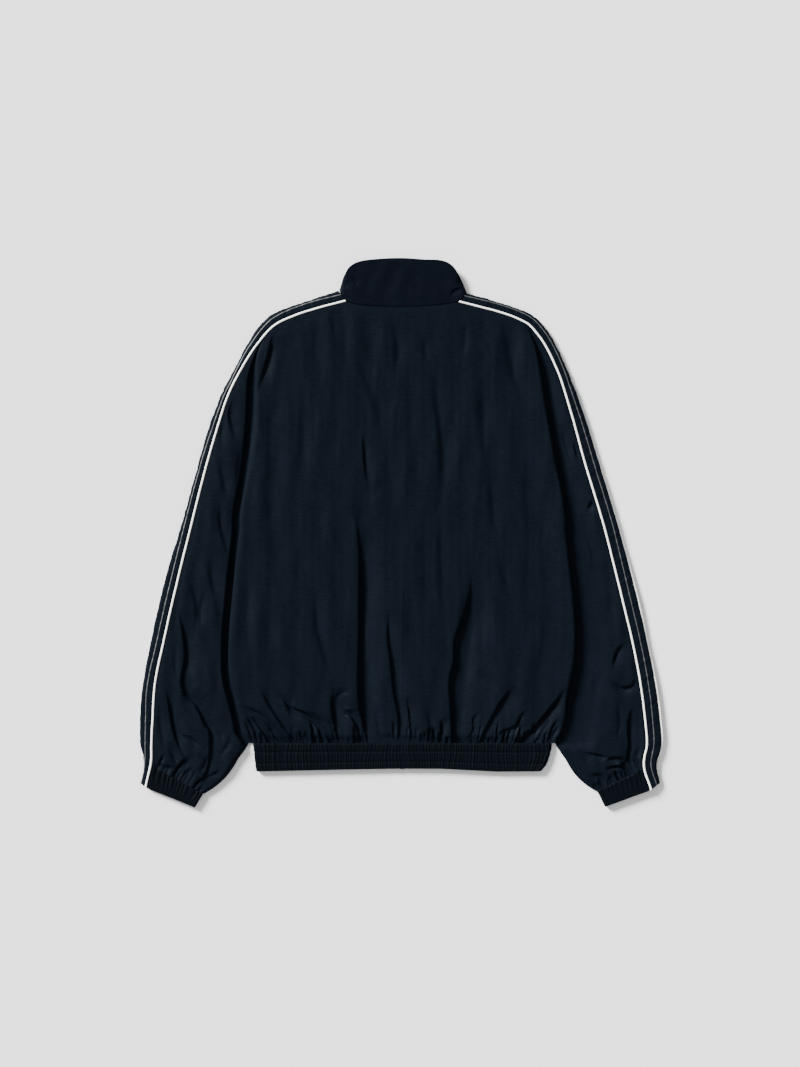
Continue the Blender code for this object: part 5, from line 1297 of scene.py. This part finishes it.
COLLAR_FOLD = np.degrees(np.linspace(-math.pi / 2, math.pi / 2, 21))
FRONT_START = (0.0, 0.6)
columns = [column_row(*collar_at(COLLAR_FRONT[LEFT], t), -90) for t in np.linspace(3.0, 0.65, 16)]
columns += collar_fold(COLLAR_BACK, COLLAR_FRONT[LEFT], (-1.0, 0.15))
columns += [column_row(*collar_at(COLLAR_BACK, t)) for t in np.linspace(0.85, 7.15, 140)]
columns += collar_fold(COLLAR_BACK, COLLAR_FRONT[RIGHT], (1.0, 0.15))[::-1]
columns += [column_row(*collar_at(COLLAR_FRONT[RIGHT], t), -90) for t in np.linspace(0.65, 3.0, 16)]
shares = np.concatenate([np.linspace(0, 0.06, 6), np.linspace(0.06, 0.95, 40)[1:],
                         np.linspace(0.95, 1, 9)[1:]])
plain = np.zeros((len(shares), len(columns)))
shape = band_grid(columns, shares, COLLAR_RADIUS, plain)
turns = np.radians(np.array(columns)[None, :, 4])
relief = 0.3 * crease_heights(COLLAR_CREASES, shape[..., 0], shape[..., 1])
relief += undulation(shape[..., 0], shape[..., 1], 91, 34.0, 90.0, 0.45)
relief *= ease(np.sin(turns)) * np.clip((1 - shares[:, None]) * COLLAR_DEPTH / 5.0, 0.15, 1)
draw_in = rounded(shares, COLLAR_DEPTH, COLLAR_CLOTH, 0.4)[:, None] * np.abs(np.sin(turns))
away_from_zip = ease(np.minimum(np.arange(len(columns)), np.arange(len(columns))[::-1]) / 6.0)[None]
collar_wall = mix(WALL, COLLAR_CLOTH, away_from_zip)
outer = band_grid(columns, shares, COLLAR_RADIUS, relief - draw_in)
inner = band_grid(columns, shares, COLLAR_RADIUS,
                  relief - collar_wall + 0.98 * rounded(shares, COLLAR_DEPTH, COLLAR_CLOTH, 0)[:, None])
run = run_of(outer[4])
weave = np.stack(np.meshgrid(run, shares * COLLAR_DEPTH), axis=-1)
collar = dress(close_shell("collar_cloth", outer, inner, weave, faced_nylon), "collar_nylon", "collar")

# %% [markdown]
# ## Ruched hem and cuffs
#
# The hem is a casing with wide elastic inside, stitched through twice, so its cloth is gathered into fine
# uneven ribs between pinched rows of stitching. The cuffs are the same, narrower and tighter. Their cloth
# is coloured darker than the shell, as painted shade between the gathers.


# %% Ruched casing
def ruching(length, pitch, seed):
    """Edges of uneven ribs along a length, and their heights."""
    chance = np.random.default_rng(seed)
    steps = pitch * chance.uniform(0.45, 1.6, int(length / pitch) + 2)
    edges_at = np.concatenate(([0.0], np.cumsum(steps)))
    return edges_at * length / edges_at[-1], chance.uniform(0.5, 1.25, len(steps))


def ruched_relief(along, depth, length, pitch, channels, height, seed, roundness=0.8):
    """Relief of a ruched casing: along is (rows, columns) in millimetres, depth is (rows, 1)."""
    ribs, heights = ruching(length, pitch, seed)
    sway = 1.1 * np.sin(depth / 8.0 + along / 23.0) + 0.9 * np.sin(along / 17.0 - depth / 15.0)
    at = np.clip(along + sway, 0, length - 1e-3)
    index = np.clip(np.searchsorted(ribs, at, side="right") - 1, 0, len(heights) - 1)
    phase = (at - ribs[index]) / (ribs[index + 1] - ribs[index])
    rib = np.sin(np.pi * phase) ** roundness * heights[index]
    pinch = sum(np.exp(-((depth - c) / 1.3) ** 2) for c in channels)
    return height * rib * (1 - 0.4 * pinch) - 0.35 * pinch - 0.9


# %% Hem band
HEM_CLOTH, HEM_CHANNELS = 2.6, (13.0, 28.0)     # its wall, and how far down its stitched rows are
HEM_STOPS = 560
HEM_RIBS, HEM_RIB_HEIGHT = 4.1, 0.85
HEM_FULLNESS = 1.12         # length of cloth on a length of elastic at rest
TUCK = 0.9                  # how far a band reaches under the panel that it is sewn to


def hem_edge(side, depth):
    """x of the hem's fold at a depth below the seam."""
    return side * float(curve(HEM[0], HEM[1 if side == LEFT else 2], depth))


def hem_free(x):
    """Down of the hem's free edge, which hangs lower at its ends."""
    return HEM_DOWN + HEM_DEPTH + float(np.interp(x, (-205, -100, 0, 60, 140, 205), (2.4, 0, -1.8, -1.5, 2.6, 2.2)))


def hem_column(x_seam, x_free, turn):
    return column_row((x_seam, HEM_DOWN - TUCK), (x_free, hem_free(x_free)), turn)


def bow(points, depth):
    """Move the ends of the hem out to their curved edge."""
    x = points[..., 0]
    for side, column in ((LEFT, 1), (RIGHT, 2)):
        first, last = HEM[column][0], HEM[column][-1]
        extra = np.interp(depth, HEM[0], HEM[column]) - mix(first, last, depth / HEM_DEPTH)
        points[..., 0] = x = x + side * extra * np.clip(side * x / 212.0, 0, 1) ** 9
    return points


def hem_lower(side):
    """The hem's layer on the floor, from the zip out to the fold."""
    start = ZIP_X + side * 4.0
    return [hem_column(mix(start, hem_edge(side, 0) - side * BAND_RADIUS, s),
                       mix(start, hem_edge(side, HEM_DEPTH) - side * BAND_RADIUS, s), -90)
            for s in np.linspace(0, 0.99, 40)]


folds = {side: fold_rows((hem_edge(side, 0), HEM_DOWN - TUCK),
                         (hem_edge(side, HEM_DEPTH), hem_free(hem_edge(side, HEM_DEPTH))),
                         (side, 0.0), BAND_RADIUS, FOLD if side == LEFT else FOLD[::-1]) for side in edges}
middle = []
for s in np.linspace(0, 1, HEM_STOPS)[1:-1]:
    x_seam = mix(hem_edge(LEFT, 0) + BAND_RADIUS, hem_edge(RIGHT, 0) - BAND_RADIUS, s)
    side = LEFT if s < 0.5 else RIGHT
    drawn = (hem_edge(side, HEM_DEPTH) - hem_edge(side, 0)) * abs(2 * s - 1) ** 8
    middle.append(hem_column(x_seam, x_seam + drawn, 90))
columns = hem_lower(LEFT) + folds[LEFT] + middle + folds[RIGHT] + hem_lower(RIGHT)[::-1]
shares = np.unique(np.concatenate([np.linspace(0, 1, 24), np.linspace(0.97, 1, 5),
                                   *[np.array((-1.4, -0.7, 0, 0.7, 1.4)) / HEM_DEPTH + c / HEM_DEPTH
                                     for c in HEM_CHANNELS]]))
turns = np.array(columns)[None, :, 4]
shape = band_grid(columns, shares, BAND_RADIUS, np.zeros((len(shares), len(columns))))
run = run_of(shape[10])
depth = shares[:, None] * HEM_DEPTH
along = np.broadcast_to(run[None], (len(shares), len(columns)))
relief = ruched_relief(along, depth, run[-1], HEM_RIBS, HEM_CHANNELS, HEM_RIB_HEIGHT, 101)
relief *= mix(0.35, 1.0, ease((turns + 90) / 60))
draw_in = rounded(shares, HEM_DEPTH, HEM_CLOTH, 2.0)[:, None]
outer = bow(band_grid(columns, shares, BAND_RADIUS, relief - draw_in), depth)
thick = mix(WALL, HEM_CLOTH, ease(np.minimum(run, run[-1] - run) / 60.0))[None]
inside = np.minimum(0.3 * relief - thick + 0.9 * draw_in, relief - draw_in - 0.5)
inner = bow(band_grid(columns, shares, BAND_RADIUS, inside), depth)
weave = np.stack(np.meshgrid(run * HEM_FULLNESS, shares * HEM_DEPTH), axis=-1)
hem = dress(close_shell("hem_casing", outer, inner, weave, elastic_nylon), "elastic_nylon", "hem_band")
hem_face = outer

# %% Cuffs
CUFF_CLOTH = 2.4
CUFF_RIBS, CUFF_RIB_HEIGHT, CUFF_RIB_ROUND = 7.0, 0.9, 1.5
CUFF_STITCHED = 0.8         # share of its depth at which its row of stitches runs
CUFF_FULLNESS = 1.2
cuff_faces = {}


def cuff_piece(edge):
    """From the back piping over the top, round the inner fold and back below to the front piping."""
    keys = (edge.cuff - TUCK, edge.end)
    inner = [edge.inner(edge.cuff) - (0.0, TUCK), edge.inner(edge.end)]
    tops, lows = [], []
    for key in keys:
        tops.append(edge.offset(key, edge.read(PIPING, key) + PIPING_ROOM) * (edge.side, 1))
        lows.append(edge.offset(key, edge.front_reach(key) + GAP) * (edge.side, 1))
    inner = [p * (edge.side, 1) for p in inner]
    outward = (inner[0] - tops[0]) / np.linalg.norm(inner[0] - tops[0])
    drawn = [p - outward * BAND_RADIUS for p in inner]
    columns = [column_row(mix(tops[0], drawn[0], s), mix(tops[1], drawn[1], s)) for s in np.linspace(0, 1, 150)]
    columns += fold_rows(inner[0], inner[1], outward, BAND_RADIUS, FOLD[::-1])
    columns += [column_row(mix(lows[0], drawn[0], s), mix(lows[1], drawn[1], s), -90)
                for s in np.linspace(0.97, 0, 30)]
    shares = np.unique(np.concatenate([np.linspace(0, 1, 20), np.linspace(0.95, 1, 5)]))
    shape = band_grid(columns, shares, BAND_RADIUS, np.zeros((len(shares), len(columns))))
    run = run_of(shape[8])
    reach = float(np.linalg.norm(tops[1] - tops[0]))
    along = np.broadcast_to(run[None], (len(shares), len(columns)))
    turns = np.array(columns)[None, :, 4]
    relief = ruched_relief(along, shares[:, None] * reach, run[-1], CUFF_RIBS, (CUFF_STITCHED * reach,),
                           CUFF_RIB_HEIGHT, 120 + int(edge.side), CUFF_RIB_ROUND)
    relief *= mix(0.35, 1.0, ease((turns + 90) / 60)) * mix(1.0, 0.15, ease((shares[:, None] - 0.3) / 0.5))
    draw_in = rounded(shares, reach, CUFF_CLOTH, 1.1)[:, None]
    outer = band_grid(columns, shares, BAND_RADIUS, relief - draw_in)
    inside = np.minimum(0.3 * relief - CUFF_CLOTH + 0.9 * draw_in, relief - draw_in - 0.5)
    weave = np.stack(np.meshgrid(run * CUFF_FULLNESS, shares * reach), axis=-1)
    name = NAMES[edge.side]
    piece = close_shell(f"cuff_{name}_casing", outer, band_grid(columns, shares, BAND_RADIUS, inside), weave,
                        elastic_nylon)
    dress(piece, "elastic_nylon", f"cuff_{name}")
    cuff_faces[edge.side] = outer


for edge in edges.values():
    cuff_piece(edge)

# %% [markdown]
# ## Front zip
#
# The zip lies between the fronts. Each tape is a woven strip behind the front's edge. The closed coil is
# a row of small nylon loops on each side. One loop is modelled and copied. A real coil has a loop every
# 1.3 mm; here they are 2.6 mm apart, so that they can be told apart.

# %% Zip tapes
ZIP_TOP, ZIP_END = 48.5, 730.7
for side in (LEFT, RIGHT):
    downs = np.linspace(ZIP_TOP, ZIP_END, 160)
    across = np.linspace(1.0, 14.0, 6)
    width, down = np.meshgrid(across, downs)
    low = np.stack([ZIP_X + side * width, down, zip_lift(down) + WALL + GAP], axis=-1)
    weave = np.stack([width, down], axis=-1)
    tape = close_shell(f"zip_tape_{NAMES[side]}_woven", low, low + (0, 0, 0.8), weave, zip_tape)
    dress(tape, "zip_tape", f"zip_tape_{NAMES[side]}")

# %% Zip coil
LOOP_STEP = 2.6
bpy.ops.object.select_all(action="DESELECT")
bpy.ops.mesh.primitive_cube_add(size=1.0, location=(0, 0, 0))
loop = bpy.context.object
loop.scale = (3.2 * MM, 1.5 * MM, 1.5 * MM)
bpy.ops.object.transform_apply(location=False, rotation=False, scale=True)
bpy.ops.object.mode_set(mode="EDIT")
bpy.ops.mesh.select_all(action="SELECT")
bpy.ops.mesh.bevel(offset=0.45 * MM, segments=1, affect="EDGES")
bpy.ops.object.mode_set(mode="OBJECT")
loop.data.materials.append(zip_coil)
loops = 0
for side in (LEFT, RIGHT):
    for down in np.arange(66.0 + (side > 0) * LOOP_STEP / 2, ZIP_END, LOOP_STEP):
        tooth = bpy.data.objects.new(f"coil_{NAMES[side]}_{loops:03d}", loop.data.copy())
        bpy.context.scene.collection.objects.link(tooth)
        lift = float(np.interp(down, (0.0, 74.0, 100.0, 140.0), (4.3, 4.3, 2.4, 0.5))) + 0.4
        place = to_world([(ZIP_X + side * 1.35, down, lift)])[0]
        tooth.data.transform(Matrix.Translation(place))
        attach(tooth, "jacket")
        loops += 1
bpy.data.objects.remove(loop)
for node, finish in (("zip_chain", zip_coil), ("zip_box", zip_coil), ("zip_slider", enamelled_zinc),
                     ("zip_pull", enamelled_zinc)):
    frame["nodes"][node].data.materials.clear()
    frame["nodes"][node].data.materials.append(finish)
print("zip loops:", loops)

# %% [markdown]
# ## Topstitching
#
# Rows of lockstitch hold the elastic in the hem and the cuffs. One stitch is a short rounded grain of
# thread, modelled once and copied along each pinched row. A real stitch is 2.5 mm; here they are 3.6 mm.

# %% Stitches
bpy.ops.object.select_all(action="DESELECT")
bpy.ops.mesh.primitive_cylinder_add(vertices=6, radius=0.28 * MM, depth=2.4 * MM, rotation=(0, math.pi / 2, 0))
stitch = bpy.context.object
bpy.ops.object.transform_apply(location=False, rotation=True, scale=False)
bpy.ops.object.mode_set(mode="EDIT")
bpy.ops.mesh.select_all(action="SELECT")
bpy.ops.mesh.bevel(offset=0.14 * MM, segments=1, affect="EDGES")
bpy.ops.object.mode_set(mode="OBJECT")
bpy.ops.object.shade_smooth()
stitch.data.materials.append(sewing_thread)
stitch_count = 0


def sew(face, row, step, name, upper_only=6.0):
    """Stitches along one row of a band's outer face, where it faces up."""
    global stitch_count
    line = face[row][face[row][:, 2] > upper_only * 0.8]
    run = np.concatenate(([0.0], np.cumsum(np.linalg.norm(np.diff(line, axis=0), axis=1))))
    for at in np.arange(step, run[-1] - step, step):
        middle = np.array([np.interp(at, run, line[:, n]) for n in range(3)])
        ahead = np.array([np.interp(at + 1.0, run, line[:, n]) for n in range(3)]) - middle
        turn = math.atan2(-ahead[1], ahead[0])
        copy = bpy.data.objects.new(f"stitch_{name}_{stitch_count:03d}", stitch.data.copy())
        bpy.context.scene.collection.objects.link(copy)
        place = to_world([middle + (0, 0, 0.1)])[0]
        copy.data.transform(Matrix.Translation(place) @ Matrix.Rotation(turn, 4, "Z"))
        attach(copy, "jacket")
        stitch_count += 1


hem_rows = [int(np.argmin(np.abs(depth[:, 0] - c))) for c in HEM_CHANNELS]
for row in hem_rows:
    sew(hem_face, row, 3.6, "hem")
for side, face in cuff_faces.items():
    sew(face, int(len(face) * 0.8), 3.6, f"cuff_{NAMES[side]}")
bpy.data.objects.remove(stitch)
print("stitches:", stitch_count)
